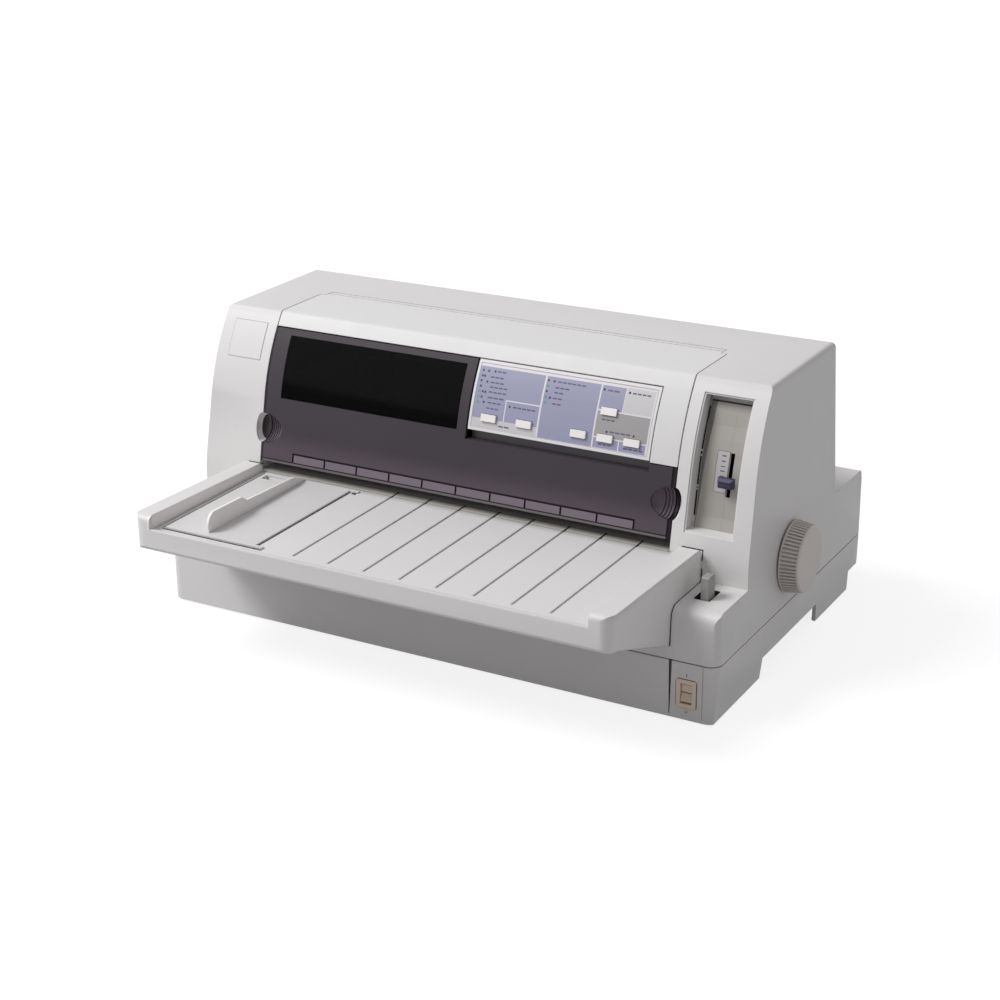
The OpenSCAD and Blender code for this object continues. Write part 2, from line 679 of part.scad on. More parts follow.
module paper_bed() {
    // steel plates before and behind the platen, pierced for the feed rollers
    color([0.45, 0.45, 0.47]) {
        bed_plate(front_y + 3, platen_y - 9, feed_y0);
        bed_plate(platen_y + 9, 205, feed_y1);
    }
}
module bed_plate(y0, y1, yr) {
    difference() {
        union() {
            box([cover_x0 + 1, y0, paper_z - 2], [cover_x1 - 1, y1, paper_z]);
            box([frame_x0 + sheet_t, max(y0, 78), paper_z - 2], [frame_x1, y1, paper_z]);
        }
        for (x = roller_xs) box([x - 11, yr - 8.5, paper_z - 3], [x + 11, yr + 8.5, paper_z + 1]);
    }
}

// ---- front tray ----
tray_back = front_y - 0.3;
module tray_side() {
    // side view of the tray: lip, rail top, hooked back and sloping underside
    polygon(concat(
        arc(tray_front + 4, paper_z + rail_h - 4, 4, 0, 90, 4),
        [[tray_back - 3, paper_z + rail_rear_h], [tray_back, paper_z + rail_rear_h - 3],
        [tray_back, recess_z + seat_gap], [0.6, recess_z + seat_gap],
        [tray_front + 10, 81.8], [tray_front + 3, 81.8], [tray_front, 84.5]]));
}
module tray_plan(t) {
    rounded([tray_x0 + t, tray_front + t], [tray_x1 - t, tray_back + 20], 9 - t);
}
guide_slot_y = -20;
module front_tray() {
    color(off_white) difference() {
        intersection() {
            along_x(tray_x0, tray_x1) tray_side();
            along_z(recess_z, 120) tray_plan(0);
        }
        // space over the plate between the rails
        along_z(paper_z, 130) rounded([tray_x0 + rail_w0, tray_front + 2.6], [tray_x1 - rail_w1, tray_back + 30], 3);
        box([tray_x0 + rail_w0 + 1, tray_front - 1, paper_z + 1.2], [tray_x1 - rail_w1 - 1, tray_front + 8, 130]);
        // hollow underside
        difference() {
            intersection() {
                along_x(tray_x0 + 2.6, tray_x1 - 2.6) offset(delta = -2.6) tray_side();
                along_z(recess_z, 96) tray_plan(2.6);
            }
            box([tray_x0, tray_front, paper_z - tray_t], [tray_x1, tray_back, paper_z + 20]);
            for (x = [-120, -50, 20, 90, 150]) box([x - 0.9, tray_front, 50], [x + 0.9, tray_back, 100]);
        }
        box([tray_x0 + 2.6, 6, recess_z - 1], [tray_x1 - 2.6, tray_back - 2.6, paper_z - tray_t - 3]);
        // grooves along the paper's way
        for (i = [0 : grooves - 1])
            box([-56 + groove_pitch * i - 0.9, tray_front + 11, paper_z - 0.9],
                [-56 + groove_pitch * i + 0.9, tray_back + 1, paper_z + 1]);
        // slot of the edge guide's key
        box([guide_x0 + 1.5, guide_slot_y - 1.7, paper_z - tray_t - 1],
            [guide_x0 + 62, guide_slot_y + 1.7, paper_z + 1]);
        // lines before and beside the edge guide, and the well under its window
        line_z = paper_z - 1.2;
        box([guide_x0 - 1.6, guide_y0 - 1.6, line_z], [guide_x0 + guide_w + 7.6, guide_y0, paper_z + 1]);
        box([guide_x0 + guide_w, guide_y0, line_z], [guide_x0 + guide_w + 1.2, tray_back - 4, paper_z + 1]);
        box([guide_x0 + 3, tray_back - 17, paper_z - 1.8], [guide_x0 + 22, tray_back - 9, paper_z + 1]);
    }
}
guide_y0 = tray_front + 9.6;
guide_x0 = tray_x0 + rail_w0 + 7.5;
module edge_guide() {
    z = paper_z + 0.1;
    fin_x = guide_x0 + 33;
    color(off_white) difference() {
        union() {
            box([guide_x0, guide_y0, z], [guide_x0 + guide_w, tray_back - 4.5, z + guide_t]);
            for (y = [guide_y0, tray_back - 7.5])
                box([guide_x0 + guide_w - eps, y, z], [guide_x0 + guide_w + 7, y + 3, z + guide_t]);
            // fin with a rounded front
            along_x(fin_x, fin_x + 2) polygon(concat([[-74.4, z + guide_t - eps], [-74.8, 103]],
                arc(-64.8, 103.4, 10, 10, 74, 5),
                [[-38, 112.4], [-34, 112.2], [-27.4, 108], [32, 105.8], [tray_back - 6, 101],
                [tray_back - 4.6, z + guide_t - eps]]));
            // key in the tray's slot
            box([guide_x0 + 8, guide_slot_y - 1.5, z - 3.4], [guide_x0 + 20, guide_slot_y + 1.5, z + eps]);
        }
        box([guide_x0 + 3, tray_back - 17, z - 1], [guide_x0 + 22, tray_back - 9, z + 3]);
    }
}

// ---- covers ----
module cover_ear_cut() {
    for (x = [cover_x0 - 1, cover_x1 - ear_w - 0.5])
        box([x, hinge_y - ear_d - 0.5, case_h - 12], [x + ear_w + 1.5, hinge_y + 5, case_h + 1]);
}
module printer_cover() {
    x0 = cover_x0 + cover_gap;
    x1 = cover_x1 - cover_gap;
    color([0.9, 0.89, 0.87]) union() {
        difference() {
            union() {
                front_cut(x0, x1, window_z1, case_h, 0, cover_t, hinge_y);
                front_cut(block_x0, x1, block_z0, window_z1 + eps, 0, cover_t);
                // stiffening flanges
                for (x = [x0, x1 - 2.2]) front_cut(x, x + 2.2, window_z1, case_h, cover_t - eps, 8, hinge_y);
                front_cut(x1 - 2.2, x1, block_z0, window_z1 + eps, cover_t - eps, 8);
                front_cut(block_x0, block_x0 + 2.2, block_z0, window_z1 + 8, cover_t - eps, 6);
                // catch rail behind the upper edge of the front cover
                front_cut(x0 + 4, window_x1, window_z1, window_z1 + 4, cover_t - eps, 5);
            }
            cover_ear_cut();
            // line before the hinge bead
            box([x0 - 1, hinge_y - 4.4, case_h - 1], [x1 + 1, hinge_y - 2.6, case_h + 1]);
        }
        // hinge bead and its pins
        rod_x(cover_x0 + ear_w + 0.5, cover_x1 - ear_w - 0.5, hinge_y, hinge_z, bead_r);
        rod_x(cover_x0 + 0.6, cover_x1 - 0.6, hinge_y, hinge_z, bead_r - 0.5);
        // root of the bead under the top sheet
        box([cover_x0 + ear_w + 0.5, hinge_y - 6, case_h - cover_t], [cover_x1 - ear_w - 0.5, hinge_y, case_h - bead_r]);
    }
}
module smoked_zone(t0, t1) {
    x0 = cover_x0 + cover_gap;
    x1 = cover_x1 - cover_gap;
    front_cut(x0, window_x1, cover_z0, window_z1 - cover_gap, t0, t1);
    front_cut(x0, x1, cover_z0, ledge_z, t0, t1);
    front_cut(block_x0, x1, cover_z0, block_z0 - cover_gap, t0, t1);
}
pane = [[cover_x0 + 15, ledge_z + 5.5], [window_x1 - 7.6, window_z1 - 5.1]];
box_x0 = cover_x0 + 30;
box_z = [cover_z0 + 2.6, cover_z0 + 9];
module front_cover() {
    color([0.28, 0.26, 0.29, 0.85]) difference() {
        union() {
            smoked_zone(0, cover_t);
            // step under the control panel
            front_cut(window_x1, block_x0, ledge_z - 2, ledge_z, cover_t - eps, 4.6);
            // tabs that clip behind the printer cover
            for (x = [-150, -100, -50]) front_cut(x, x + 12, window_z1 - 4, window_z1 + 3, 5.05, 6.4);
            for (x = [-150, -100, -50]) front_cut(x, x + 12, window_z1 - 4, window_z1 - 2, cover_t - eps, 6.4);
            // shells of the finger hollows
            intersection() {
                union() {
                    scoop(cover_x0, -1, 1.6);
                    scoop(cover_x1, 1, 1.6);
                }
                along_x(cover_x0 + cover_gap, cover_x1 - cover_gap) curve_band(0.3, 14.5, hinge_y);
            }
        }
        scoop(cover_x0, -1, 0);
        scoop(cover_x1, 1, 0);
        scoop_grips(cover_x0, -1);
        scoop_grips(cover_x1, 1);
        // thin clear pane, set back from both faces
        for (t = [[-1, 0.3], [1.6, 4]]) front_cut(pane[0][0], pane[1][0], pane[0][1], pane[1][1], t[0], t[1]);
        // lines of the blocks along the lower edge, one over each tray groove
        for (i = [0 : 10])
            let (x = box_x0 + groove_pitch * i) front_cut(x - 0.5, x + 0.5, box_z[0], box_z[1], -1, 0.7);
        front_cut(box_x0 - 0.5, box_x0 + 10 * groove_pitch + 0.5, box_z[1] - 0.9, box_z[1], -1, 0.7);
        // rebate down the right edge
        front_cut(cover_x1 - 4, cover_x1, cover_z0 - 1, block_z0, -1, 0.8);
    }
}

// ---- control panel ----
key_places = [for (p = [[16.2, 9.8], [44.9, 9.8], [88.4, 9.8], [109.2, 27.4], [109.2, 9.8], [130, 9.8]])
    [panel_x0 + p[0], panel_z0 + p[1]]];
module on_panel(x, z) {
    // local z runs up along the curve, local y into the machine
    translate([x, sweep_y(z), z]) rotate([-sweep_angle(z), 0, 0]) children();
}
module centred(w, h, y0, y1) {
    box([-w / 2, y0, -h / 2], [w / 2, y1, h / 2]);
}
module key_holes() {
    for (p = key_places) on_panel(p[0], p[1]) centred(key_w + 0.6, key_h + 0.6, -4, 8);
}
panel_mid = (panel_z0 + panel_z1) / 2;
board_in = 9.5;
arm_x0 = panel_x1 - 84.4;
module panel_frame() {
    color([0.9, 0.9, 0.89]) union() {
        difference() {
            front_cut(panel_x0, panel_x1, panel_z0, panel_z1, 0.8, 14);
            front_cut(panel_x0 + 1.8, panel_x1 - 1.8, panel_z0 + 2.4, panel_z1 - 2.4, 3, 20);
            key_holes();
        }
        difference() {
            front_cut(panel_x0, panel_x1, panel_z0, panel_z1, 0.2, 0.9);
            front_cut(panel_x0 + 2, panel_x1 - 2, panel_z0 + 2, panel_z1 - 2, -1, 2);
        }
        // skirt behind the step of the front cover
        front_cut(panel_x0, panel_x1, ledge_z - 4, panel_z0 + 0.5, 7.5, 9.5);
        // arm to the right column
        front_cut(arm_x0, cover_x1, panel_mid - 14, panel_mid + 8, 14 - eps, 16.4);
        front_cut(arm_x0, arm_x0 + 4, panel_mid - 14, panel_mid + 8, 2.9, 14);
        // posts of the board
        for (x = [panel_x0 + 5.2, panel_x1 - 4.6], z = [-14, 16])
            on_panel(x, panel_mid) translate([0, 0, z]) rod_y(1.8, board_in, 0, 0, 2);
    }
}
module panel_sheet() {
    color([0.68, 0.7, 0.86]) difference() {
        front_cut(panel_x0 + 2.2, panel_x1 - 2.2, panel_z0 + 2.2, panel_z1 - 2.2, 0.25, 0.75);
        key_holes();
    }
}
module panel_board() {
    color([0.2, 0.42, 0.28]) union() {
        difference() {
            on_panel(0, panel_mid) box([panel_x0 + 2.4, board_in, 5.6 - panel_h / 2],
                [panel_x1 - 2.4, board_in + 1.6, panel_h / 2 - 4.8]);
            front_cut(arm_x0 - 0.5, arm_x0 + 4.5, panel_mid - 15, panel_mid + 9, 2, 17);
        }
        for (p = key_places) on_panel(p[0], p[1]) centred(6, 6, 8.1, board_in + 0.8);
    }
}
module key(i) {
    p = key_places[i - 1];
    color([0.92, 0.91, 0.89]) on_panel(p[0], p[1]) union() {
        centred(key_w, key_h, -key_out, 3.8);
        centred(key_w + 2.4, key_h + 2.4, 3.4, 4.6);
        centred(3.4, 3.4, 4.5, 8.1 - key_travel - 0.15);
    }
}
module key_1() { key(1); }
module key_2() { key(2); }
module key_3() { key(3); }
module key_4() { key(4); }
module key_5() { key(5); }
module key_6() { key(6); }

// ---- levers ----
arm_x = [gap_lever_x - 0.8, gap_lever_x + 0.8];
knob_y = sweep_start[0] + 1.6;
knob_depth = 5.2;
module guide_shaft() {
    color([0.78, 0.79, 0.8]) rod_x(frame_x0 - 2, gap_lever_x + 3, guide_y, guide_z, guide_r);
}
module thickness_lever() {
    color([0.25, 0.22, 0.42]) union() {
        difference() {
            union() {
                along_x(arm_x[0], arm_x[1]) hull() {
                    translate([guide_y, guide_z]) circle(r = guide_r + 4, $fn = 40);
                    translate([knob_y + 4.6, gap_lever_z - 1.2]) circle(r = 2.4, $fn = 16);
                }
                rod_x(gap_lever_x - 3, gap_lever_x + 3, guide_y, guide_z, guide_r + 2.5);
            }
            rod_x(gap_lever_x - 4, gap_lever_x + 4, guide_y, guide_z, guide_r);
        }
        // knob, narrower towards its front, with a groove across
        difference() {
            intersection() {
                along_x(gap_lever_x - 6, gap_lever_x + 6) translate([knob_y, gap_lever_z]) polygon([[0, -1.4],
                    [1, -3.5], [knob_depth, -3.5], [knob_depth, 3.4], [2.4, 3.4], [0, 1.6]]);
                along_z(gap_lever_z - 5, gap_lever_z + 5) translate([gap_lever_x, knob_y]) polygon([[-4.2, 0],
                    [4.2, 0], [5.8, 2.2], [5.8, knob_depth], [-5.8, knob_depth], [-5.8, 2.2]]);
            }
            box([gap_lever_x - 8, knob_y - 1, gap_lever_z - 0.2],
                [gap_lever_x + 8, knob_y + 0.7, gap_lever_z + 0.5]);
        }
    }
}
release_pivot_z = 48;
module release_lever() {
    color([0.75, 0.74, 0.72]) difference() {
        union() {
            along_x(release_x - 2.8, release_x + 2.8) hull() {
                translate([release_y, release_pivot_z]) circle(r = 6, $fn = 32);
                translate([release_y - 3.4, release_z - 1.6]) circle(r = 1.6, $fn = 16);
                translate([release_y + 3.4, release_z - 1.6]) circle(r = 1.6, $fn = 16);
            }
            rod_x(release_x - 4, release_x + 4, release_y, release_pivot_z, 5);
        }
        rod_x(release_x - 5, release_x + 5, release_y, release_pivot_z, 2.5 + pin_fit);
    }
}
module release_bracket() {
    color([0.72, 0.74, 0.75]) union() {
        for (x = [release_x - 4.4 - sheet_t, release_x + 4.4])
            along_x(x, x + sheet_t) hull() {
                translate([release_y, release_pivot_z]) circle(r = 5, $fn = 32);
                translate([29, inside_z + 0.1]) square([16, 2]);
            }
        box([release_x - 4.4 - sheet_t, 29, inside_z], [release_x + 4.4 + sheet_t, 45, inside_z + sheet_t]);
        rod_x(release_x - 5, release_x + 5, release_y, release_pivot_z, 2.5);
    }
}

// ---- feed train ----
platen = [platen_y, platen_z];
feed0 = [feed_y0, feed_z];
feed1 = [feed_y1, feed_z];
tractor = [tractor_y, tractor_z];
platen_n = 34;
feed_n = 14;
idler0_n = 12;
idler1_n = 20;
idler2_n = 20;
tractor_n = 20;
pinion_n = 12;
gear_x = frame_x0 - 8;
function pitch_r(n) = gear_m * n / 2;
// centre of a gear that meshes with two others
function between(a, b, ra, rb, side) = let (d = norm(b - a), u = (b - a) / d, x = (d * d + ra * ra - rb * rb) / (2 * d))
    a + u * x + [-u[1], u[0]] * side * sqrt(max(ra * ra - x * x, 0));
function heading(a, b) = atan2(b[1] - a[1], b[0] - a[0]);
// angle of a tooth of gear b that puts it in mesh with gear a
function in_mesh(a, b, phase, na, nb) = let (t = heading(a, b)) t + 180 - (0.5 - (t - phase) * na / 360) * 360 / nb;
idler_front = between(platen, feed0, pitch_r(platen_n + idler0_n), pitch_r(feed_n + idler0_n), 1);
idler_rear = between(platen, feed1, pitch_r(platen_n + idler1_n), pitch_r(feed_n + idler1_n), -1);
idler_tractor = between(feed1, tractor, pitch_r(feed_n + idler2_n), pitch_r(tractor_n + idler2_n), -1);
pinion = platen + pitch_r(platen_n + pinion_n) * [cos(-40), sin(-40)];
platen_ph = 0;
idler0_ph = in_mesh(platen, idler_front, platen_ph, platen_n, idler0_n);
feed0_ph = in_mesh(idler_front, feed0, idler0_ph, idler0_n, feed_n);
idler1_ph = in_mesh(platen, idler_rear, platen_ph, platen_n, idler1_n);
feed1_ph = in_mesh(idler_rear, feed1, idler1_ph, idler1_n, feed_n);
idler2_ph = in_mesh(feed1, idler_tractor, feed1_ph, feed_n, idler2_n);
tractor_ph = in_mesh(idler_tractor, tractor, idler2_ph, idler2_n, tractor_n);
pinion_ph = in_mesh(platen, pinion, platen_ph, platen_n, pinion_n);
tooth = [[-0.82, -1.2], [-0.58, 0], [-0.26, 0.82], [0.26, 0.82], [0.58, 0], [0.82, -1.2]];
module gear(c, n, phase) {
    along_x(gear_x, gear_x + gear_w) translate(c) polygon([for (i = [0 : n - 1], t = tooth)
        let (r = pitch_r(n) + gear_m * t[1], a = phase + 360 * i / n + gear_m * t[0] / r * 180 / PI)
        [r * cos(a), r * sin(a)]]);
}
module idler(c, n, phase) {
    color([0.88, 0.87, 0.82]) difference() {
        union() {
            gear(c, n, phase);
            rod_x(gear_x + gear_w - eps, frame_x0 - 0.3, c[0], c[1], 4.5);
        }
        rod_x(gear_x - 1, frame_x0 + 1, c[0], c[1], 2.5 + pin_fit);
    }
}
module front_idler_gear() { idler(idler_front, idler0_n, idler0_ph); }
module rear_idler_gear() { idler(idler_rear, idler1_n, idler1_ph); }
module tractor_idler_gear() { idler(idler_tractor, idler2_n, idler2_ph); }
module platen_shaft() {
    color([0.78, 0.79, 0.8]) union() {
        rod_x(gear_x - 1, knob_reach - 4, platen_y, platen_z, platen_shaft_r);
        gear(platen, platen_n, platen_ph);
    }
}
module platen_roller() {
    color([0.15, 0.15, 0.16]) difference() {
        rod_x(frame_x0 + 17, frame_x1 - 15, platen_y, platen_z, platen_r);
        rod_x(frame_x0, frame_x1, platen_y, platen_z, platen_shaft_r);
    }
}
module knob_cone(x0, x1, dr) {
    // frustum that follows the knob's taper, dr smaller in radius
    r0 = knob_r - dr;
    r1 = knob_face_r - dr;
    translate([x0, platen_y, platen_z]) rotate([0, 90, 0]) cylinder(h = x1 - x0, r1 = r0, r2 = r1);
}
module platen_knob() {
    x0 = half_w + 0.3;
    color([0.76, 0.73, 0.72]) difference() {
        union() {
            intersection() {
                along_x(x0 + 1.4, knob_reach - 1.2) translate(platen)
                    polygon([for (i = [0 : knob_ribs - 1], t = [0 : 3])
                        let (r = knob_r + (t == 1 || t == 2 ? 3 : -3.4),
                            a = 360 * (i + [0.08, 0.14, 0.62, 0.68][t]) / knob_ribs) [r * cos(a), r * sin(a)]]);
                knob_cone(x0, knob_reach, 0);
            }
            knob_cone(x0, knob_reach - 0.8, 1.5);
            rod_x(x0, x0 + 1.5, platen_y, platen_z, knob_r);
            // face with a bevelled edge
            translate([0, platen_y, platen_z]) rotate([0, 90, 0]) rotate_extrude($fn = 72)
                polygon([[0, knob_reach - 4], [knob_face_r - 0.2, knob_reach - 1.4],
                    [knob_face_r - 0.2, knob_reach - 1], [knob_face_r - 1.2, knob_reach], [0, knob_reach]]);
            rod_x(x0 - 6, x0 + eps, platen_y, platen_z, platen_shaft_r + 1.2);
        }
        rod_x(x0 - 7, knob_reach - 4, platen_y, platen_z, platen_shaft_r);
    }
}
module feed_rollers(c, phase) {
    color([0.25, 0.25, 0.26]) union() {
        rod_x(gear_x - 1, frame_x1 + sheet_t + 1.5, c[0], c[1], feed_shaft_r);
        for (x = roller_xs) rod_x(x - 9, x + 9, c[0], c[1], feed_r);
        gear(c, feed_n, phase);
    }
}
module front_feed_rollers() { feed_rollers(feed0, feed0_ph); }
module rear_feed_rollers() { feed_rollers(feed1, feed1_ph); }
module pressure_rollers(y) {
    color([0.6, 0.6, 0.6]) union() {
        rod_x(frame_x0 - 1.5, frame_x1 + sheet_t + 1.5, y, press_z, press_shaft_r);
        for (x = roller_xs) rod_x(x - 7, x + 7, y, press_z, press_r);
    }
}
module front_pressure_rollers() { pressure_rollers(feed_y0); }
module rear_pressure_rollers() { pressure_rollers(feed_y1); }
motor_r = 14.8;
module feed_motor() {
    color([0.35, 0.36, 0.38]) difference() {
        union() {
            rod_x(frame_x0 + sheet_t, frame_x0 + sheet_t + 36, pinion[0], pinion[1], motor_r);
            along_x(frame_x0 + sheet_t, frame_x0 + sheet_t + 2) translate(pinion)
                rounded([-14, -14.6], [14, 14], 3);
        }
        rod_x(frame_x0, frame_x0 + 14, pinion[0], pinion[1], 1.5 + pin_fit);
    }
}
module feed_pinion() {
    color([0.8, 0.7, 0.4]) union() {
        gear(pinion, pinion_n, pinion_ph);
        rod_x(gear_x - 0.5, frame_x0 + 13, pinion[0], pinion[1], 1.5);
    }
}

// ---- carriage ----
belt_z = guide_z + 1;
pulley_x0 = frame_x0 + 24;
pulley_x1 = frame_x1 - 23.5;
pulley_y = guide_y + 22;
motor_plate_z = belt_z + 7;
deck = guide_z + 9;
module carriage() {
    color([0.2, 0.2, 0.22]) difference() {
        union() {
            rod_x(-carriage_hw, carriage_hw, guide_y, guide_z, guide_r + 4);
            box([-carriage_hw, 106, deck], [carriage_hw, guide_y, deck + 4]);
            // front foot on the rail
            box([-9, 104.6, deck], [9, 109, rail_z + 4]);
            box([-9, 94, rail_z + 0.3], [9, 109, rail_z + 4]);
            // posts of the ribbon cartridge
            for (x = [3 - carriage_hw, carriage_hw - 3], y = [112, 150])
                box([x - 3, y - 3, deck + 3], [x + 3, y + 3, cartridge_z]);
            // belt clamp
            box([-8, guide_y + 8, belt_z - 6], [8, pulley_y - pulley_r - belt_t - 0.3, belt_z + 6]);
            for (s = [-1, 1]) box([-8, guide_y + 8, belt_z + s * 4.7 - 1.2], [8, pulley_y - pulley_r + 2, belt_z + s * 4.7 + 1.2]);
        }
        rod_x(-60, 60, guide_y, guide_z, guide_r + pin_fit);
        rod_z(deck - 1, deck + 6, 0, platen_y, head_r + 0.1);
    }
}
head_r = 14;
cartridge_z = 154;
module print_head() {
    color([0.3, 0.3, 0.32]) union() {
        box([-6, platen_y - 6, paper_z + 1.3], [6, platen_y + 6, paper_z + 12]);
        rod_z(paper_z + 10, deck + 6, 0, platen_y, head_r);
        for (i = [0 : 5]) rod_z(deck + 4 + 4 * i, deck + 6 + 4 * i, 0, platen_y, 19);
        rod_z(deck + 4, deck + 26, 0, platen_y, 10);
    }
}
module ribbon_cartridge() {
    color([0.12, 0.12, 0.13]) union() {
        difference() {
            box([-40, 96, cartridge_z], [40, 156, cartridge_z + 13]);
            rod_z(cartridge_z + 12, cartridge_z + 14, 24, 132, 8);
            box([-30, 102, cartridge_z + 12], [10, 150, cartridge_z + 14]);
        }
        rod_z(cartridge_z + 12, cartridge_z + 15, 24, 132, 5);
        // arms down to the nose, and the ribbon between them
        for (x = [-40, 34]) box([x, platen_y - 8, paper_z + 0.6], [x + 6, platen_y + 8, cartridge_z + eps]);
        box([-35, platen_y - 6.5, paper_z + 0.6], [35, platen_y + 6.5, paper_z + 1]);
    }
}
module belt_outline(r) {
    hull() for (x = [pulley_x0, pulley_x1]) translate([x, pulley_y]) circle(r = r, $fn = 40);
}
module drive_belt() {
    color([0.15, 0.15, 0.15]) along_z(belt_z - belt_w / 2, belt_z + belt_w / 2) difference() {
        belt_outline(pulley_r + belt_t);
        belt_outline(pulley_r + 0.1);
    }
}
module pulley(x) {
    rod_z(belt_z - belt_w / 2 - 0.5, belt_z + belt_w / 2 + 0.5, x, pulley_y, pulley_r);
    for (z = [belt_z - belt_w / 2 - 1.7, belt_z + belt_w / 2 + 0.5]) rod_z(z, z + 1.2, x, pulley_y, pulley_r + 1.6);
}
module drive_pulley() {
    color([0.85, 0.84, 0.8]) union() {
        pulley(pulley_x0);
        rod_z(belt_z, motor_plate_z + 12, pulley_x0, pulley_y, 2);
    }
}
module idler_pulley() {
    color([0.85, 0.84, 0.8]) difference() {
        pulley(pulley_x1);
        rod_z(belt_z - 9, belt_z + 9, pulley_x1, pulley_y, 2 + pin_fit);
    }
}
module carriage_motor() {
    color([0.35, 0.36, 0.38]) difference() {
        union() {
            rod_z(motor_plate_z, motor_plate_z + 36, pulley_x0, pulley_y, 13.6);
            box([frame_x0 + sheet_t, pulley_y - 9, motor_plate_z], [pulley_x0 + 13, pulley_y + 12, motor_plate_z + 2]);
        }
        rod_z(motor_plate_z - 1, motor_plate_z + 14, pulley_x0, pulley_y, 2 + pin_fit);
    }
}

// ---- tractors ----
tractor_w = 18;
left_x = frame_x0 + 54;
right_x = frame_x1 - 80.5;
module tractor_shaft() {
    color([0.78, 0.79, 0.8]) union() {
        rod_x(gear_x - 1, frame_x0 + 10, tractor_y, tractor_z, tractor_end_r);
        along_x(frame_x0 + 10 - eps, frame_x1 - 8.5) translate(tractor) square(square_w, center = true);
        rod_x(frame_x1 - 8.5 - eps, frame_x1 + sheet_t + 1.5, tractor_y, tractor_z, tractor_end_r);
        gear(tractor, tractor_n, tractor_ph);
    }
}
lid_pin_r = 1.2;
lid_pin_z = paper_z - 0.6;
function lid_pin_x(x, s) = s < 0 ? x - 2.8 : x + tractor_w + 2.8;
module tractor_unit(x, s) {
    hx = lid_pin_x(x, s);
    color([0.3, 0.3, 0.32]) difference() {
        union() {
            along_x(x, x + tractor_w) polygon([[228, 68], [262, 68], [262, 92], [256, paper_z - 0.6], [228, paper_z - 0.6]]);
            // knuckles of the lid's pin
            for (y = [228, 252]) {
                rod_y(y, y + 4, hx, lid_pin_z, 2.4);
                box([min(hx, x), y, lid_pin_z - 2.4], [max(hx, x + tractor_w), y + 4, paper_z - 0.6]);
            }
        }
        // channel of the sprocket, open at the top
        rod_x(x + 4.6, x + 11.4, tractor_y, tractor_z, sprocket_r + 3);
        rod_x(x - 1, x + tractor_w + 1, tractor_y, tractor_z, 5 + pin_fit);
        rod_x(x - 1, x + tractor_w + 1, bar_y, bar_z, bar_r + pin_fit);
        for (y = [227, 251]) rod_y(y, y + 6, hx, lid_pin_z, lid_pin_r + pin_fit);
    }
}
module left_tractor() { tractor_unit(left_x, -1); }
module right_tractor() { tractor_unit(right_x, 1); }
module sprocket(x) {
    color([0.85, 0.84, 0.8]) difference() {
        union() {
            rod_x(x + 5, x + 11, tractor_y, tractor_z, sprocket_r);
            rod_x(x + 0.5, x + tractor_w - 0.5, tractor_y, tractor_z, 5);
            for (i = [0 : 5]) translate([x + 8, tractor_y, tractor_z]) rotate([60 * i, 0, 0])
                cylinder(h = sprocket_r + 2, r = 1.1);
        }
        along_x(x, x + tractor_w) translate(tractor) square(square_w + 0.1, center = true);
    }
}
module left_sprocket() { sprocket(left_x); }
module right_sprocket() { sprocket(right_x); }
module tractor_lid(x, s) {
    hx = lid_pin_x(x, s);
    color([0.3, 0.3, 0.32]) difference() {
        union() {
            box([min(hx, x), 232.4, paper_z + 0.4], [max(hx, x + tractor_w), 251.6, paper_z + 2.4]);
            rod_y(232.4, 251.6, hx, lid_pin_z, 2.4);
            box([hx - 2.4, 232.4, lid_pin_z], [hx + 2.4, 251.6, paper_z + 2.4]);
            rod_y(228.4, 255.6, hx, lid_pin_z, lid_pin_r);
        }
        // slot over the sprocket's pins
        box([x + 4.6, 229, paper_z], [x + 11.4, 247, paper_z + 4]);
    }
}
module left_tractor_lid() { tractor_lid(left_x, -1); }
module right_tractor_lid() { tractor_lid(right_x, 1); }
hood_x0 = bay[0][0] - 3.4;
hood_x1 = bay[1][0] + 3.4;
hood_d = case_d - 8;
module rear_cover() {
    color(off_white) union() {
        rod_x(hood_x0, hood_x1, rear_hinge_y, rear_hinge_z, 3);
        rod_x(hood_x0 - 3.8, hood_x1 + 3.8, rear_hinge_y, rear_hinge_z, 1.5);
        difference() {
            along_x(hood_x0, hood_x1) hood_side(0);
            along_x(hood_x0 + 2.2, hood_x1 - 2.2) hood_side(2.4);
            box([hood_x0 + 2.2, hood_d - 12, deck_z], [hood_x1 - 2.2, hood_d + 1, paper_z + 6]);
        }
    }
}
module hood_side(t) {
    // side view of the rear cover, open below and towards the tall part
    polygon([[rear_hinge_y - (t > 0 ? 8 : 0), rear_hinge_z + 3 - t], [hood_d - 16, rear_hinge_z + 3 - t],
        [hood_d - 8 - t / 3, rear_hinge_z - t], [hood_d - t, deck_z + 0.4 - t], [rear_hinge_y + 2 - t * 4, deck_z + 0.4 - t],
        [rear_hinge_y - (t > 0 ? 8 : 0), rear_hinge_z - 2]]);
}

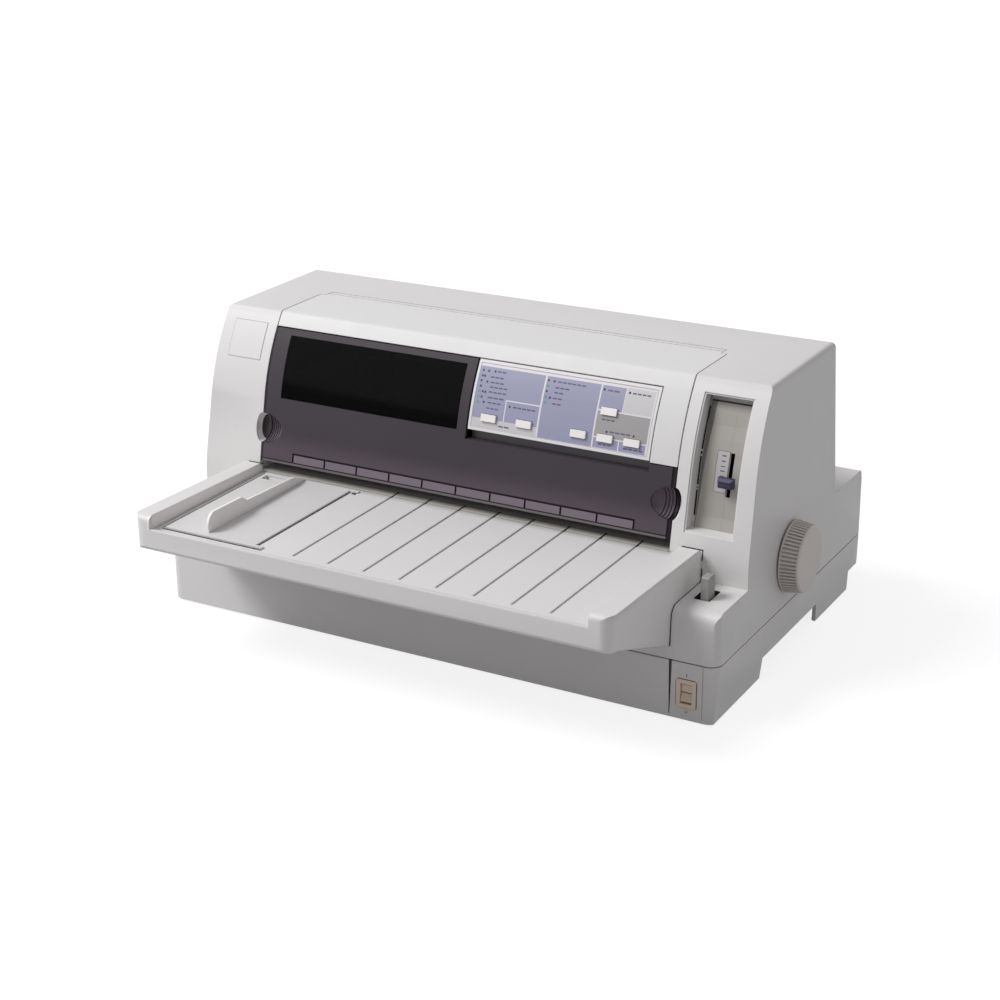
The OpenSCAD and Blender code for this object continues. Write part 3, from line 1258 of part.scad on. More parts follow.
// ---- electrics ----
module main_board() {
    color([0.2, 0.42, 0.28]) union() {
        box([board_x0, 52, seat_z], [board_x1, case_d - 6.8, seat_z + sheet_t]);
        for (p = [[0, 110, 26, 26], [50, 110, 34, 14], [50, 140, 34, 14], [100, 120, 20, 40], [10, 180, 40, 16], [-30, 80, 16, 16]])
            box([p[0], p[1], seat_z + 1.5], [p[0] + p[2], p[1] + p[3], seat_z + 5.5]);
        for (x = [-20 : 16 : 60]) rod_z(seat_z + 1.5, seat_z + 12, x, 68, 5);
        // interface port
        box([port_x - 31, case_d - 24.8, seat_z + 1.5], [port_x + 31, case_d - 0.8, seat_z + 4.4]);
        difference() {
            box([port_x - 31, case_d - 18.8, seat_z + 1.5], [port_x + 31, case_d - 0.6, seat_z + 16.4]);
            box([port_x - 24, case_d - 12.8, seat_z + 5.4], [port_x + 24, case_d, seat_z + 13]);
        }
        box([port_x - 20, case_d - 14.8, seat_z + 8.2], [port_x + 20, case_d - 4, seat_z + 10.2]);
    }
}
module power_board() {
    color([0.55, 0.5, 0.3]) union() {
        box([supply_x0, 52, seat_z], [supply_x1, 225, seat_z + sheet_t]);
        box([supply_x0 + 15, 206, seat_z + 1.5], [supply_x1 - 36, 224, 58]);
        for (i = [0 : 3]) rod_z(seat_z + 1.5, seat_z + 9, supply_x0 + 15 + 22 * i, 84, 8);
        box([supply_x0 + 7, 110, seat_z + 1.5], [supply_x0 + 15, 190, seat_z + 14]);
    }
}
module ac_inlet() {
    color([0.12, 0.12, 0.12]) union() {
        difference() {
            box([inlet_x - 13.8, case_d - 22.8, inside_z + 1.2], [inlet_x + 13.8, case_d - 0.6, inside_z + 21.2]);
            box([inlet_x - 11.4, case_d - 18.8, inside_z + 3.4], [inlet_x + 11.4, case_d + 1, inside_z + 19]);
        }
        for (p = [[-7, 8.5], [7, 8.5], [0, 13.5]])
            box([inlet_x + p[0] - 1, case_d - 19.8, inside_z + p[1] - 2],
                [inlet_x + p[0] + 1, case_d - 5, inside_z + p[1] + 2]);
    }
}
module switch_bezel() {
    color([0.8, 0.72, 0.6]) difference() {
        union() {
            box([switch_x - switch_w / 2, -0.7, switch_z - switch_h / 2], [switch_x + switch_w / 2, 0, switch_z + switch_h / 2]);
            box([switch_x - switch_w / 2 + 1.35, -eps, switch_z - switch_h / 2 + 1.35],
                [switch_x + switch_w / 2 - 1.35, 14, switch_z + switch_h / 2 - 1.35]);
        }
        box([switch_x - switch_w / 2 + 3, -2, switch_z - switch_h / 2 + 3], [switch_x + switch_w / 2 - 3, 12, switch_z + switch_h / 2 - 3]);
        rod_x(switch_x - 6, switch_x + 6, rocker_y, switch_z, 1.2 + pin_fit);
    }
}
rocker_y = 4;
module switch_rocker() {
    w = switch_w / 2 - 3.2;
    h = switch_h / 2 - 4;
    color([0.86, 0.78, 0.66]) union() {
        along_x(switch_x - w, switch_x + w) polygon([[-0.4, -h + 0.6 + switch_z], [0.8, -h + switch_z], [6.5, switch_z - 3],
            [6.5, switch_z + 3], [2.6, h + switch_z], [1.4, h - 0.4 + switch_z], [1.6, switch_z + 0.4]]);
        rod_x(switch_x - w - 1, switch_x + w + 1, rocker_y, switch_z, 1.2);
    }
}
module tractor_bar() {
    color([0.78, 0.79, 0.8]) rod_x(frame_x0 - 1, frame_x1 + sheet_t + 1, bar_y, bar_z, bar_r);
}

// ---- placing: origin on the ground under the middle of the whole machine ----
module place() {
    translate([-place_x, -place_y, foot_h]) children();
}
place() lower_case();
place() upper_case();
place() rubber_feet();
place() case_screws();
place() frame_screws();
place() chassis_plate();
place() left_side_frame();
place() right_side_frame();
place() front_rail();
place() paper_bed();
place() front_tray();
place() edge_guide();
place() printer_cover();
place() front_cover();
place() panel_frame();
place() panel_sheet();
place() panel_board();
place() key_1();
place() key_2();
place() key_3();
place() key_4();
place() key_5();
place() key_6();
place() guide_shaft();
place() thickness_lever();
place() release_lever();
place() release_bracket();
place() platen_roller();
place() platen_shaft();
place() platen_knob();
place() front_feed_rollers();
place() rear_feed_rollers();
place() front_pressure_rollers();
place() rear_pressure_rollers();
place() front_idler_gear();
place() rear_idler_gear();
place() tractor_idler_gear();
place() feed_motor();
place() feed_pinion();
place() carriage();
place() print_head();
place() ribbon_cartridge();
place() drive_belt();
place() drive_pulley();
place() idler_pulley();
place() carriage_motor();
place() tractor_shaft();
place() left_tractor();
place() right_tractor();
place() left_sprocket();
place() right_sprocket();
place() left_tractor_lid();
place() right_tractor_lid();
place() rear_cover();
place() main_board();
place() power_board();
place() ac_inlet();
place() switch_bezel();
place() switch_rocker();
place() tractor_bar();
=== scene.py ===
"""Looks of the flatbed dot matrix printer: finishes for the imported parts, printed marks, panes and small trim."""
import math

import bpy
import numpy as np
from mathutils import Matrix, Vector


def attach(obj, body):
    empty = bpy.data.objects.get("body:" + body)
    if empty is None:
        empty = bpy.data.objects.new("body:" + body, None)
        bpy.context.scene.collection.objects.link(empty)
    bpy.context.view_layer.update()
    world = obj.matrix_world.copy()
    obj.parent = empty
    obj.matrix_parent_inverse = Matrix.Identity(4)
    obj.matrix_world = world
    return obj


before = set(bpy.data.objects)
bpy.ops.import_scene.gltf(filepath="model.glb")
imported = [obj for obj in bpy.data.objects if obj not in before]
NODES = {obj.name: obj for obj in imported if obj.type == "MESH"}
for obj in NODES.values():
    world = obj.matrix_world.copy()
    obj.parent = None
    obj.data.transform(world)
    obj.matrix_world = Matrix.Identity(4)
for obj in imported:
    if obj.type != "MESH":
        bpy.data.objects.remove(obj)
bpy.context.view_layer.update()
MM = 0.001

# ---- places: the housing's own frame in millimetres, and the row frame in metres ----
ORIGIN = np.array([7.0, 95.8, -1.5])


def place(points):
    """Points of the housing's frame in mm, as (n, 3), moved into the row frame in metres."""
    return (np.asarray(points, float) - ORIGIN) * MM


# ---- the front curve of the columns and covers, as the same chords that the solids have ----
FRONT_Y, LEAN, LOW_R, SWEEP_R = 50.8, math.radians(11.3), 90.0, 159.0
LOW_Z, SWEEP_Z, TOP_Z, EDGE_R = 88.0, 150.0, 214.7, 5.0


def front_chords():
    """Heights and depths of the curve's corners: a low arc, a straight, a sweep and the edge to the top."""
    low = np.linspace(0, LEAN, 4)
    low_y = FRONT_Y + LOW_R - LOW_R * np.cos(low)
    low_z = LOW_Z + LOW_R * np.sin(low)
    start_y = low_y[-1] + (SWEEP_Z - low_z[-1]) * math.tan(LEAN)
    centre_y = start_y + SWEEP_R * math.cos(LEAN)
    centre_z = SWEEP_Z - SWEEP_R * math.sin(LEAN)
    top = math.asin((TOP_Z - EDGE_R - centre_z) / (SWEEP_R - EDGE_R))
    sweep = np.linspace(LEAN, top, 8)
    sweep_y = centre_y - SWEEP_R * np.cos(sweep)
    sweep_z = centre_z + SWEEP_R * np.sin(sweep)
    return np.concatenate([low_z, sweep_z]), np.concatenate([low_y, sweep_y])


CURVE_Z, CURVE_Y = front_chords()


def on_front(x, z, out):
    """Points on the front curve at widths x and heights z, stood off the surface by out along its normal."""
    y = np.interp(z, CURVE_Z, CURVE_Y)
    slope = (np.interp(z + 1, CURVE_Z, CURVE_Y) - np.interp(z - 1, CURVE_Z, CURVE_Y)) / 2
    length = np.sqrt(1 + slope * slope)
    return np.stack(np.broadcast_arrays(x, y - out / length, z + out * slope / length), -1)


# ---- meshes from arrays ----
def add_object(name, data):
    """A new object of the scene that holds a mesh, a lamp or a camera."""
    made = bpy.data.objects.new(name, data)
    bpy.context.scene.collection.objects.link(made)
    return made


def mesh_piece(name, points, faces, finish, body="machine"):
    """A piece from points in the housing's frame and faces, with its finish and the body it rides on."""
    mesh = bpy.data.meshes.new(name)
    mesh.from_pydata(place(points).tolist(), [], [list(map(int, f)) for f in faces])
    mesh.materials.append(finish.material)
    piece = add_object(name, mesh)
    if body:
        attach(piece, body)
    return piece


def grid_faces(rows, columns, offset=0, close_columns=False):
    """Quads of a grid of rows by columns points, numbered row by row, joined round where asked."""
    r, c = np.meshgrid(np.arange(rows - 1), np.arange(columns if close_columns else columns - 1), indexing="ij")
    n = (c + 1) % columns
    quads = np.stack([r * columns + c, r * columns + n, (r + 1) * columns + n, (r + 1) * columns + c], -1)
    return quads.reshape(-1, 4) + offset


def slab(front, back):
    """A closed slab between two grids of points, its rim joined by a band of quads."""
    rows, columns = front.shape[:2]
    count = rows * columns
    rim = np.concatenate([np.arange(columns), np.arange(1, rows) * columns + columns - 1,
                          (rows - 1) * columns + np.arange(columns - 2, -1, -1),
                          np.arange(rows - 2, 0, -1) * columns])
    following = np.roll(rim, -1)
    band = np.stack([rim, rim + count, following + count, following], -1)
    faces = np.concatenate([grid_faces(rows, columns), grid_faces(rows, columns, count)[:, ::-1], band])
    return np.concatenate([front.reshape(-1, 3), back.reshape(-1, 3)]), faces


def join(slabs):
    """Points and faces of several closed slabs as one mesh."""
    points, faces, count = [], [], 0
    for some, quads in slabs:
        points.append(some)
        faces.append(quads + count)
        count += len(some)
    return np.concatenate(points), np.concatenate(faces)


def film(name, cells, low, high, finish):
    """Flat cells (x0, z0, x1, z1) laid on the front curve, each a slab between two heights over the curve.

    A cell is split where the curve has a corner, so that it lies on the chords."""
    slabs = []
    for x0, z0, x1, z1 in cells:
        z = np.array([z0, *CURVE_Z[(CURVE_Z > z0) & (CURVE_Z < z1)], z1])
        x, z = np.meshgrid([x0, x1], z)
        slabs.append(slab(on_front(x, z, high), on_front(x, z, low)))
    return mesh_piece(name, *join(slabs), finish)


def flat(name, cells, low, high, finish):
    """Level cells (x0, y0, x1, y1), each a slab between two heights."""
    slabs = []
    for x0, y0, x1, y1 in cells:
        x, y = np.meshgrid([x0, x1], [y0, y1])
        upper, lower = (np.stack([x, y, np.full(x.shape, z)], -1) for z in (high, low))
        slabs.append(slab(upper, lower))
    return mesh_piece(name, *join(slabs), finish)


def outline(x0, z0, x1, z1, width):
    """Four cells that frame a rectangle."""
    return [(x0, z0, x1, z0 + width), (x0, z1 - width, x1, z1),
            (x0, z0 + width, x0 + width, z1 - width), (x1 - width, z0 + width, x1, z1 - width)]


def prism(profile, x0, x1):
    """A closed bar between two widths whose section is a loop of (y, z), taken anticlockwise."""
    count = len(profile)
    ring = np.arange(count)
    following = np.roll(ring, -1)
    points = np.concatenate([np.column_stack([np.full(count, x), profile]) for x in (x0, x1)])
    sides = np.stack([ring, following, following + count, ring + count], -1).tolist()
    return points, [*sides, ring[::-1].tolist(), (ring + count).tolist()]


def upright(outer, inner, y0, y1):
    """A closed ring in the plane of X and Z between two loops of points, from depth y0 to depth y1."""
    count = len(outer)
    loops = [np.column_stack([loop[:, 0], np.full(count, y), loop[:, 1]])
             for loop, y in ((outer, y0), (outer, y1), (inner, y1), (inner, y0))]
    # the fifth row of the grid is the first loop again
    return np.concatenate(loops), grid_faces(5, count, close_columns=True) % (4 * count)


CORNER_POINTS = 5


def rounded_loop(x0, z0, x1, z1, radius):
    """Corner points of a rectangle whose corners are quarter circles of the radius."""
    angle = np.linspace(0, math.pi / 2, CORNER_POINTS)
    corners = [(x1 - radius, z1 - radius, 0), (x0 + radius, z1 - radius, 1),
               (x0 + radius, z0 + radius, 2), (x1 - radius, z0 + radius, 3)]
    return np.concatenate([np.stack([x + radius * np.cos(angle + k * math.pi / 2),
                                     z + radius * np.sin(angle + k * math.pi / 2)], -1) for x, z, k in corners])


# ---- shader values and finishes ----
def put(tree, socket, value):
    """Links a value to a socket, or writes a plain number or colour on it."""
    if isinstance(value, Value):
        tree.links.new(value.socket, socket)
    elif isinstance(value, (tuple, list)) and len(value) == 3 and len(socket.default_value) == 4:
        socket.default_value = (*value, 1.0)
    else:
        socket.default_value = value


class Value:
    """A shader value that varies over a surface. Arithmetic on it adds Math nodes to its material."""

    def __init__(self, tree, socket):
        self.tree, self.socket = tree, socket

    def math(self, operation, other=0.0, swapped=False, clamp=False):
        node = self.tree.nodes.new("ShaderNodeMath")
        node.operation = operation
        node.use_clamp = clamp
        pair = (other, self) if swapped else (self, other)
        for socket, value in zip(node.inputs, pair):
            put(self.tree, socket, value)
        return Value(self.tree, node.outputs[0])

    def __add__(self, other):
        return self.math("ADD", other)

    def __sub__(self, other):
        return self.math("SUBTRACT", other)

    def __rsub__(self, other):
        return self.math("SUBTRACT", other, True)

    def __mul__(self, other):
        return self.math("MULTIPLY", other)

    def __truediv__(self, other):
        return self.math("DIVIDE", other)

    def __gt__(self, other):
        return self.math("GREATER_THAN", other)

    def __lt__(self, other):
        return self.math("LESS_THAN", other)

    def __abs__(self):
        return self.math("ABSOLUTE")

    def clamped(self):
        return self.math("ADD", 0.0, clamp=True)

    def most(self, other):
        return self.math("MAXIMUM", other)

    __radd__ = __add__
    __rmul__ = __mul__


class Finish:
    """A procedural material: one Principled shader and what feeds it."""

    def __init__(self, name, color, roughness, **plain):
        self.material = bpy.data.materials.new(name)
        self.material.use_nodes = True
        self.tree = self.material.node_tree
        self.shader = self.tree.nodes["Principled BSDF"]
        put(self.tree, self.shader.inputs["Base Color"], color)
        put(self.tree, self.shader.inputs["Roughness"], roughness)
        for socket, value in plain.items():
            put(self.tree, self.shader.inputs[socket.replace("_", " ")], value)
        self.where = self.node("ShaderNodeTexCoord", out="Object")

    def node(self, kind, settings=None, values=None, out=0):
        made = self.tree.nodes.new(kind)
        for key, value in (settings or {}).items():
            setattr(made, key, value)
        for key, value in (values or {}).items():
            put(self.tree, made.inputs[key], value)
        return Value(self.tree, made.outputs[out])

    def feed(self, **sockets):
        for key, value in sockets.items():
            put(self.tree, self.shader.inputs[key.replace("_", " ")], value)
        return self

    def axes(self):
        """Width, depth and height of the surface point in the housing's frame, in mm."""
        parts = self.node("ShaderNodeSeparateXYZ", values={"Vector": self.where})
        node = parts.socket.node
        return [Value(self.tree, node.outputs[i]) * 1000.0 + float(ORIGIN[i]) for i in range(3)]

    def noise(self, scale, detail=2.0, roughness=0.5):
        return self.node("ShaderNodeTexNoise", values={"Vector": self.where, "Scale": scale, "Detail": detail,
                                                       "Roughness": roughness}, out="Fac")

    def mix(self, factor, first, second):
        return self.node("ShaderNodeMix", {"data_type": "RGBA"}, {0: factor, 6: first, 7: second}, out=2)

    def bump(self, height, distance, edge=0.0):
        """Height as a bump of distance metres, over edges rounded to the radius edge."""
        values = {"Height": height, "Distance": distance}
        if edge:
            values["Normal"] = self.node("ShaderNodeBevel", {"samples": 4}, {"Radius": edge})
        return self.feed(Normal=self.node("ShaderNodeBump", values=values))


# how far the clouds of a plastic go from its colour, and the depths of grain and of ground lines in metres
CLOUD, GRAIN_DEPTH, LINE_DEPTH = 0.03, 0.00003, 0.00001
LINE_STRETCH, LINE_SHADE, METAL_EDGE = (1.0, 60.0, 60.0), 0.86, 0.0002


def shade(color, factor):
    """A colour times a factor."""
    return tuple(c * factor for c in color)


def moulded(name, color, roughness=0.5, grain=900.0, edge=0.0007):
    """Moulded plastic: spark-eroded grain, faint cloudiness and uneven gloss."""
    finish = Finish(name, color, roughness)
    cloud = finish.noise(9.0, 3.0)
    finish.feed(Base_Color=finish.mix(cloud, shade(color, 1 - CLOUD), shade(color, 1 + CLOUD)),
                Roughness=roughness + 0.14 * (finish.noise(55.0, 3.0) - 0.5) + 0.06 * (cloud - 0.5))
    return finish.bump(finish.noise(grain, 2.0, 0.6), GRAIN_DEPTH, edge=edge)


def metal(name, color, roughness):
    """Rolled or ground metal: fine lines along one direction and cloudy gloss."""
    finish = Finish(name, color, roughness, Metallic=1.0)
    lines = finish.node("ShaderNodeMapping", values={"Vector": finish.where, "Scale": LINE_STRETCH})
    streak = finish.node("ShaderNodeTexNoise", values={"Vector": lines, "Scale": 60.0, "Detail": 3.0}, out="Fac")
    finish.feed(Base_Color=finish.mix(streak, shade(color, LINE_SHADE), color),
                Roughness=roughness + 0.2 * (streak - 0.5) + 0.1 * (finish.noise(30.0) - 0.5))
    return finish.bump(streak, LINE_DEPTH, edge=METAL_EDGE)


OFF_WHITE = (0.645, 0.63, 0.63)
housing = moulded("housing_plastic", OFF_WHITE)
cover_white = moulded("cover_plastic", (0.665, 0.655, 0.655))
tray_white = moulded("tray_plastic", OFF_WHITE, edge=0.002)
foot_rubber = moulded("foot_rubber", (0.03, 0.03, 0.03), 0.8)
screw_steel = metal("screw_steel", (0.5, 0.5, 0.52), 0.35)
sheet_steel = metal("sheet_steel", (0.58, 0.59, 0.6), 0.38)
dark_paint = moulded("dark_paint", (0.2, 0.185, 0.18), 0.45, grain=1500.0)
apron_grey = moulded("apron_plastic", (0.60, 0.58, 0.55), 0.5, edge=0.0)
board_green = moulded("board_green", (0.03, 0.14, 0.06), 0.35, grain=300.0)
board_tan = moulded("board_tan", (0.32, 0.22, 0.1), 0.5, grain=300.0)
key_plastic = moulded("key_plastic", (0.80, 0.77, 0.76), 0.35, grain=1500.0, edge=0.0004)
shaft_steel = metal("shaft_steel", (0.6, 0.61, 0.63), 0.2)
purple = moulded("lever_plastic", (0.022, 0.015, 0.055), 0.45, edge=0.0004)
guide_white = moulded("guide_plastic", (0.585, 0.575, 0.575), edge=0.0004)
lever_grey = moulded("release_plastic", (0.27, 0.26, 0.25), 0.45)
liner_grey = moulded("liner_plastic", (0.34, 0.32, 0.297), 0.5)
scale_grey = moulded("scale_print", (0.43, 0.415, 0.405), 0.45, grain=1800.0, edge=0.0)
ink = moulded("print_ink", (0.09, 0.075, 0.16), 0.5, grain=1800.0, edge=0.0)
# a grey for the nameplate's outline, and for painted shade along the foot of the tray's left rail
line_grey = moulded("outline_and_shade_line", (0.30, 0.29, 0.29), 0.5, grain=1800.0, edge=0.0)
lamp_dark = moulded("lamp_lens", (0.03, 0.025, 0.08), 0.15, grain=1800.0, edge=0.0)
lamp_green = moulded("lamp_green", (0.13, 0.30, 0.24), 0.15, grain=1800.0, edge=0.0)
# painted shade: a black for thin films and fillers laid in gaps, grooves and seams where shade falls
shade_black = moulded("painted_shade_black", (0.01, 0.01, 0.011), 0.8, edge=0.0)
rubber = moulded("roller_rubber", (0.022, 0.022, 0.024), 0.7, grain=500.0)
roller_grey = moulded("roller_plastic", (0.3, 0.3, 0.3), 0.5)
nylon = moulded("gear_nylon", (0.68, 0.66, 0.56), 0.4)
brass = metal("pinion_brass", (0.6, 0.42, 0.18), 0.3)
motor_grey = moulded("motor_paint", (0.05, 0.05, 0.055), 0.4)
black_plastic = moulded("black_plastic", (0.02, 0.02, 0.022), 0.45)
head_metal = metal("head_metal", (0.16, 0.16, 0.17), 0.5)
belt_black = moulded("belt_rubber", (0.02, 0.02, 0.02), 0.65)
knob_grey = moulded("knob_plastic", (0.55, 0.50, 0.485), 0.45)
switch_tan = moulded("rocker_plastic", (0.60, 0.47, 0.36), 0.4, edge=0.0003)
bezel_tan = moulded("bezel_plastic", (0.72, 0.59, 0.48), 0.45, edge=0.0003)


# ---- colours that change with the place, painted light and shade among them, as masks over width, depth and height in mm ----
def between(value, low, high):
    """One where the value lies between two limits."""
    return (value > low) * (value < high)


def rectangle(x, z, x0, z0, x1, z1):
    """One inside the rectangle and zero outside it."""
    return between(x, x0, x1) * between(z, z0, z1)


def fade(value, start, length):
    """Zero before the start and rising to one over the length, which is negative for a fade downwards."""
    return ((value - start) / length).clamped()


def repaint(finish, mask, color):
    """Another colour where the mask is one."""
    seen = Value(finish.tree, finish.shader.inputs["Base Color"].links[0].from_socket)
    return finish.feed(Base_Color=finish.mix(mask.clamped(), seen, color))


SMOKE = (0.047, 0.039, 0.047)
# painted shade for the groove and the lever's slot, and painted light for pale walls beside the paper path
PAINTED_SLOT_SHADE, PAINTED_LIGHT_WALL = (0.02, 0.018, 0.02), (0.82, 0.79, 0.78)
# where the rounded edge to the top begins, from where the top is painted in shade, and the side of the left column
# that faces the covers
TOP_EDGE, COLUMN_SIDE = (209.5, 3.5), -177.0
# the two boxes that hold the groove beside the switch and the release lever's slot, whose insides are painted dark
# as shade
GROOVE_BOX = ((193.3, 195.7), (0.08, 1.5), (-2.0, 42.3))
SLOT_BOX = ((200.3, 212.7), (21.2, 40.8), (70.0, 80.42))
# outer edges of the power switch's bezel: left, foot, right, top
BEZEL = (199.3, 9.1, 214.1, 30.1)


def paint_housing_light_and_shade():
    """Painted shade in the groove and the lever's slot, a finger hollow with a painted highlight on its rim and dark
    deep inside, and painted shade on the top of the housing and the printer cover.
    """
    x, y, z = housing.axes()
    for box in (GROOVE_BOX, SLOT_BOX):
        inside = between(x, *box[0]) * between(y, *box[1]) * between(z, *box[2])
        # painted shade: the inside of the groove and of the slot near black
        repaint(housing, inside, PAINTED_SLOT_SHADE)
    hollow = between(x, -182.0, COLUMN_SIDE - 0.03) * between(z, 118.5, 142.3) * (y < 72.0)
    depth = y - 0.2 * z - 32.2
    # painted highlight: the hollow's rim paler than the plastic, as if lit
    repaint(housing, hollow * between(depth, 0.6, 6.0), (0.86, 0.81, 0.82))
    repaint(housing, hollow * (depth > 5.6), (0.045, 0.036, 0.043))
    # painted shade: the top of the housing and of the printer cover a little darker
    repaint(housing, fade(z, *TOP_EDGE), (0.595, 0.58, 0.58))
    repaint(cover_white, fade(z, *TOP_EDGE), (0.61, 0.60, 0.60))


def paint_paper_path_light_and_shade():
    """Painted light on the left rail's inner face, the tray's right side and the guide, and on the front of the
    paper bed; painted shade on the tray's rear and the apron under the cover.
    """
    x, y, z = tray_white.axes()
    # painted light: the left rail's inner face paler
    repaint(tray_white, between(x, -174.4, -172.9) * (z > 98.4), PAINTED_LIGHT_WALL)
    # painted light: the tray's right side paler low down
    repaint(tray_white, fade(x, 187.0, 6.0) * fade(z, 107.0, -5.0), (0.73, 0.71, 0.71))
    # painted shade: the tray's surface darker towards its rear, under the cover
    surface = between(z, 96.9, 97.9) * between(x, -172.9, 177.6)
    repaint(tray_white, fade(y, 43.0, 9.0) * surface, (0.38, 0.365, 0.35))
    z = guide_white.axes()[2]
    # painted light: the guide's fin and plate above the tray paler
    repaint(guide_white, z > 99.3, PAINTED_LIGHT_WALL)
    # painted light: the paper bed paler at its front, standing in for light reaching under the cover
    y = dark_paint.axes()[1]
    repaint(dark_paint, y < 80.0, (0.45, 0.42, 0.42))
    # painted shade: the apron darker towards its rear, under the cover
    y = apron_grey.axes()[1]
    repaint(apron_grey, fade(y, 49.0, 5.0), (0.28, 0.265, 0.24))


def tint_fittings_and_pocket_shade():
    """Painted shade on a side wall of the lever pocket, a dark surround of the port, and a two-tone rocker with a
    dark line.
    """
    x, _, z = liner_grey.axes()
    # painted shade: the pocket's left side of the liner darker
    repaint(liner_grey, x < 181.4 + 0.05 * (z - 118.0), (0.13, 0.12, 0.115))
    _, y, z = board_green.axes()
    repaint(board_green, (y > 261.9) * (z > 23.6), (0.06, 0.06, 0.065))
    middle = (BEZEL[1] + BEZEL[3]) / 2
    z = switch_tan.axes()[2]
    repaint(switch_tan, z > middle, (0.72, 0.60, 0.49))
    repaint(switch_tan, between(z, middle - 0.1, middle + 0.7), (0.12, 0.08, 0.055))


paint_housing_light_and_shade()
paint_paper_path_light_and_shade()
tint_fittings_and_pocket_shade()

# ---- the smoked cover and the panel's frame ----
# rectangles across the front: left, foot, right, top
WINDOW, BOXES = (-162.0, 154.5, -7.0, 199.5), (-147.0, 108.1, 140.0, 114.5)
BOX_PITCH, COVER_LIP, PANEL_FOOT = 28.7, 107.2, 155.9
# the cover's rebates, painted dark as shade, begin at these widths
SHADED_REBATES = (-174.9, 164.9)
COVER_MIDDLE, HOLLOWS_FROM = -4.1, 152.0
# the near black of the painted shade in the cover's grooves, above its lip and on its rebates, and the window's
# black
COVER_SHADE_LINE, WINDOW_BLACK = (0.012, 0.008, 0.012), (0.001, 0.001, 0.0015)


def smoked_cover():
    """Grained dark plastic round a dark window, with a painted reflection that makes it paler low down and on the
    boxes, painted light in the finger hollows and on the lip, and painted shade in the box grooves, above the lip
    and on the side rebates.
    """
    finish = Finish("smoked_plastic", SMOKE, 0.42, Specular_IOR_Level=0.04, Coat_Roughness=0.5, Coat_IOR=1.45)
    x, y, z = finish.axes()
    window = rectangle(x, z, *WINDOW)
    cloud = finish.noise(9.0, 3.0)
    grained = finish.mix(cloud, shade(SMOKE, 0.9), shade(SMOKE, 1.1))
    # painted reflection: the cover paler towards the bottom
    grained = finish.mix(fade(z, 130.0, -16.0) * (0.7 + 0.3 * cloud), grained, (0.088, 0.069, 0.084))
    # painted reflection: the boxes paler than the cover round them
    grained = finish.mix(rectangle(x, z, *BOXES), grained, (0.17, 0.14, 0.168))
    across = finish.node("ShaderNodeMath", {"operation": "PINGPONG"}, {0: x - BOXES[0], 1: BOX_PITCH / 2})
    # painted shade: dark outlines in the grooves round the boxes
    lines = rectangle(x, z, BOXES[0] - 0.8, BOXES[1], BOXES[2] + 0.8, BOXES[3] + 0.6)
    lines = lines * (across < 0.75).most(z > BOXES[3] - 0.9)
    # painted light: the finger hollows paler than the cover
    hollows = (y - 0.2 * z > 32.6) * between(z, 116.0, 145.0) * (abs(x - COVER_MIDDLE) > HOLLOWS_FROM)
    grained = finish.mix(hollows, grained, (0.13, 0.105, 0.13))
    # painted light: the lip below the boxes paler
    grained = finish.mix(z < COVER_LIP, grained, (0.13, 0.12, 0.12))
    # painted shade: the groove outlines, a line above the lip and the side rebates near black
    painted_shade = lines.most(between(z, COVER_LIP, BOXES[1])).most(x > SHADED_REBATES[1]).most(x < SHADED_REBATES[0])
    grained = finish.mix(painted_shade.clamped(), grained, COVER_SHADE_LINE)
    finish.feed(Base_Color=finish.mix(window, grained, WINDOW_BLACK),
                Roughness=0.42 + 0.12 * (finish.noise(55.0, 3.0) - 0.5) - window * 0.3,
                Coat_Weight=0.35 * (1.0 - window), Alpha=1.0 - window * 0.14)
    return finish.bump(finish.noise(1100.0, 2.0, 0.6) * (1.0 - window), 0.00002, edge=0.0005)


def panel_plastic():
    """Pale plastic of the panel's frame, dark on the skirt below it."""
    pale = (0.68, 0.665, 0.68)
    finish = moulded("panel_frame_plastic", pale, 0.4)
    z = finish.axes()[2]
    return finish.feed(Base_Color=finish.mix((z < PANEL_FOOT).clamped(), pale, SMOKE))


smoked = smoked_cover()
panel_white = panel_plastic()

# ---- the printed panel sheet ----
PANEL_BLUE, PANEL_GREY = (0.27, 0.27, 0.39), (0.30, 0.29, 0.29)
PANEL_PALE, PRINT_WHITE = (0.52, 0.51, 0.52), (0.66, 0.62, 0.66)


def panel_film():
    """Coloured fields and dividing lines of the panel, by width and height on it."""
    finish = Finish("panel_print", PRINT_WHITE, 0.38)
    x, _, z = finish.axes()
    colour = PRINT_WHITE
    # each field or line lies over those before it: left, foot, right, top
    fields = [((4.2, 159.0, 57.0, 199.8), PANEL_BLUE), ((4.2, 159.0, 57.0, 165.4), PANEL_PALE),
              ((58.4, 159.0, 101.0, 199.8), PANEL_BLUE), ((102.2, 184.6, 120.4, 199.8), PANEL_BLUE),
              ((121.0, 184.6, 143.0, 200.4), PANEL_PALE), ((102.2, 166.6, 142.8, 183.6), PANEL_GREY),
              ((102.2, 159.2, 121.4, 165.8), PANEL_BLUE), ((122.2, 159.2, 142.4, 165.8), PANEL_BLUE),
              ((29.6, 165.4, 30.4, 180.2), PRINT_WHITE), ((29.6, 179.4, 57.0, 180.2), PRINT_WHITE)]
    for edges, tone in fields:
        colour = finish.mix(rectangle(x, z, *edges), colour, tone)
    finish.feed(Base_Color=colour, Roughness=0.34 + 0.1 * finish.noise(60.0, 3.0))
    return finish.bump(finish.noise(1400.0), 0.00001, edge=0.0003)


panel_print = panel_film()

